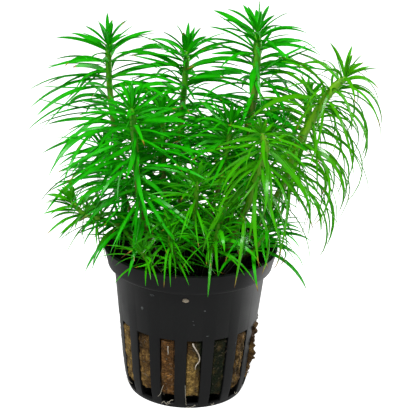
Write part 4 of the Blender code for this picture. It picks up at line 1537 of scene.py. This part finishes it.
def dust_finish():
    material, tree = new_finish("pale_dust")
    patches, grain = mottle(tree, 2500.0, 9000.0)
    return shaded(material, {
        "Base Color": blend_colours(tree, patches, DUST_DARK, DUST_PALE),
        "Roughness": ranged(tree, grain, 0.0, 1.0, 0.6, 0.9),
    })


def root_finish():
    material, tree = new_finish("pale_root")
    patches = mottle(tree, 700.0, 5000.0)[0]
    return shaded(material, {
        "Base Color": blend_colours(tree, patches, ROOT_CREAM, ROOT_WHITE),
        "Roughness": 0.5,
    })


def floor_finish():
    """A pale table, seen bright, with a painted pool of light on it, seen only in reflections, that the pot's
    right side mirrors.
    """
    material, tree = new_finish("pale_table")
    patches = mottle(tree, 8.0, 300.0)[0]
    from_pool = {0: object_place(tree), 1: PAINTED_LIGHT_POOL_AT}
    distance = put(tree, "ShaderNodeVectorMath", from_pool, operation="DISTANCE").outputs["Value"]
    rays = put(tree, "ShaderNodeLightPath").outputs
    # painted reflection: the floor emits light here for glossy rays only, so the pot's right side shows a
    # highlight
    painted_pool_light = times(tree, rays["Is Glossy Ray"], ranged(tree, distance, PAINTED_LIGHT_POOL_REACH, PAINTED_LIGHT_POOL_CORE))
    return shaded(material, {
        "Base Color": blend_colours(tree, patches, TABLE_DARK, TABLE_PALE),
        "Roughness": 0.9,
        "Specular IOR Level": 0.0,
        "Emission Color": (1, 1, 1, 1),
        "Emission Strength": maths(tree, "MAXIMUM", rays["Is Camera Ray"], painted_pool_light),
    })


# Camera, light and floor

def make_camera():
    camera = bpy.data.cameras.new("camera")
    camera.sensor_width = FILM_MM
    camera.lens = CAMERA_FOCUS / PHOTO_SIDE * FILM_MM
    camera.clip_start = 0.01
    place = Matrix.Translation(Vector(CAMERA_AT) * METRES_PER_MM)
    looking = Matrix.Rotation(-CAMERA_PAN, 4, "Z") @ Matrix.Rotation(math.pi / 2 - CAMERA_TILT, 4, "X")
    made = new_piece("camera", camera)
    made.matrix_world = place @ looking @ Matrix.Rotation(CAMERA_ROLL, 4, "Z")
    bpy.context.scene.camera = made


def make_light(name, place, size, power):
    light = bpy.data.lights.new(name, "AREA")
    light.shape = "RECTANGLE"
    light.size, light.size_y = size
    light.energy = power
    made = new_piece(name, light)
    made.location = place
    made.rotation_euler = (Vector(LIGHTS_AIM) - Vector(place)).to_track_quat("-Z", "Y").to_euler()


def make_floor(finish):
    bpy.ops.mesh.primitive_plane_add(size=FLOOR_SIZE)
    floor = bpy.context.object
    floor.name = "floor"
    floor.data.materials.append(finish)


def make_world():
    """A white background that lights the object softly and isn't mirrored in it."""
    world = bpy.data.worlds.new("studio")
    world.use_nodes = True
    tree = world.node_tree
    rays = put(tree, "ShaderNodeLightPath").outputs
    soft = times(tree, maths(tree, "SUBTRACT", 1.0, rays["Is Glossy Ray"]), SKY_STRENGTH)
    background = tree.nodes["Background"].inputs
    background["Color"].default_value = (1, 1, 1, 1)
    feed(tree, background["Strength"], maths(tree, "MAXIMUM", rays["Is Camera Ray"], soft))
    bpy.context.scene.world = world


def main():
    mottle_group()
    make_camera()
    make_floor(floor_finish())
    make_world()
    for light in LIGHTS:
        make_light(*light)
    bpy.context.scene.view_settings.view_transform = "Standard"
    tree = shoot_tree()
    make_shoots(tree, leaf_finish(), stem_finish())
    make_pot(pot_finish(), shaded_inner_pot_finish())
    make_wool(wool_finish())
    make_fibres(tree, fibre_and_highlight_finish())
    make_specks("grit", GRIT, grit_finish())
    make_specks("dust", DUST, dust_finish())
    root = root_finish()
    make_root("front_root", "root_front_slot", 0, FRONT_ROOT, FRONT_ROOT_LIFT, FRONT_ROOT_HALF, root)
    make_root("left_root", "root_left_slot", -1, LEFT_ROOT, LEFT_ROOT_LIFT, LEFT_ROOT_HALF, root)


main()
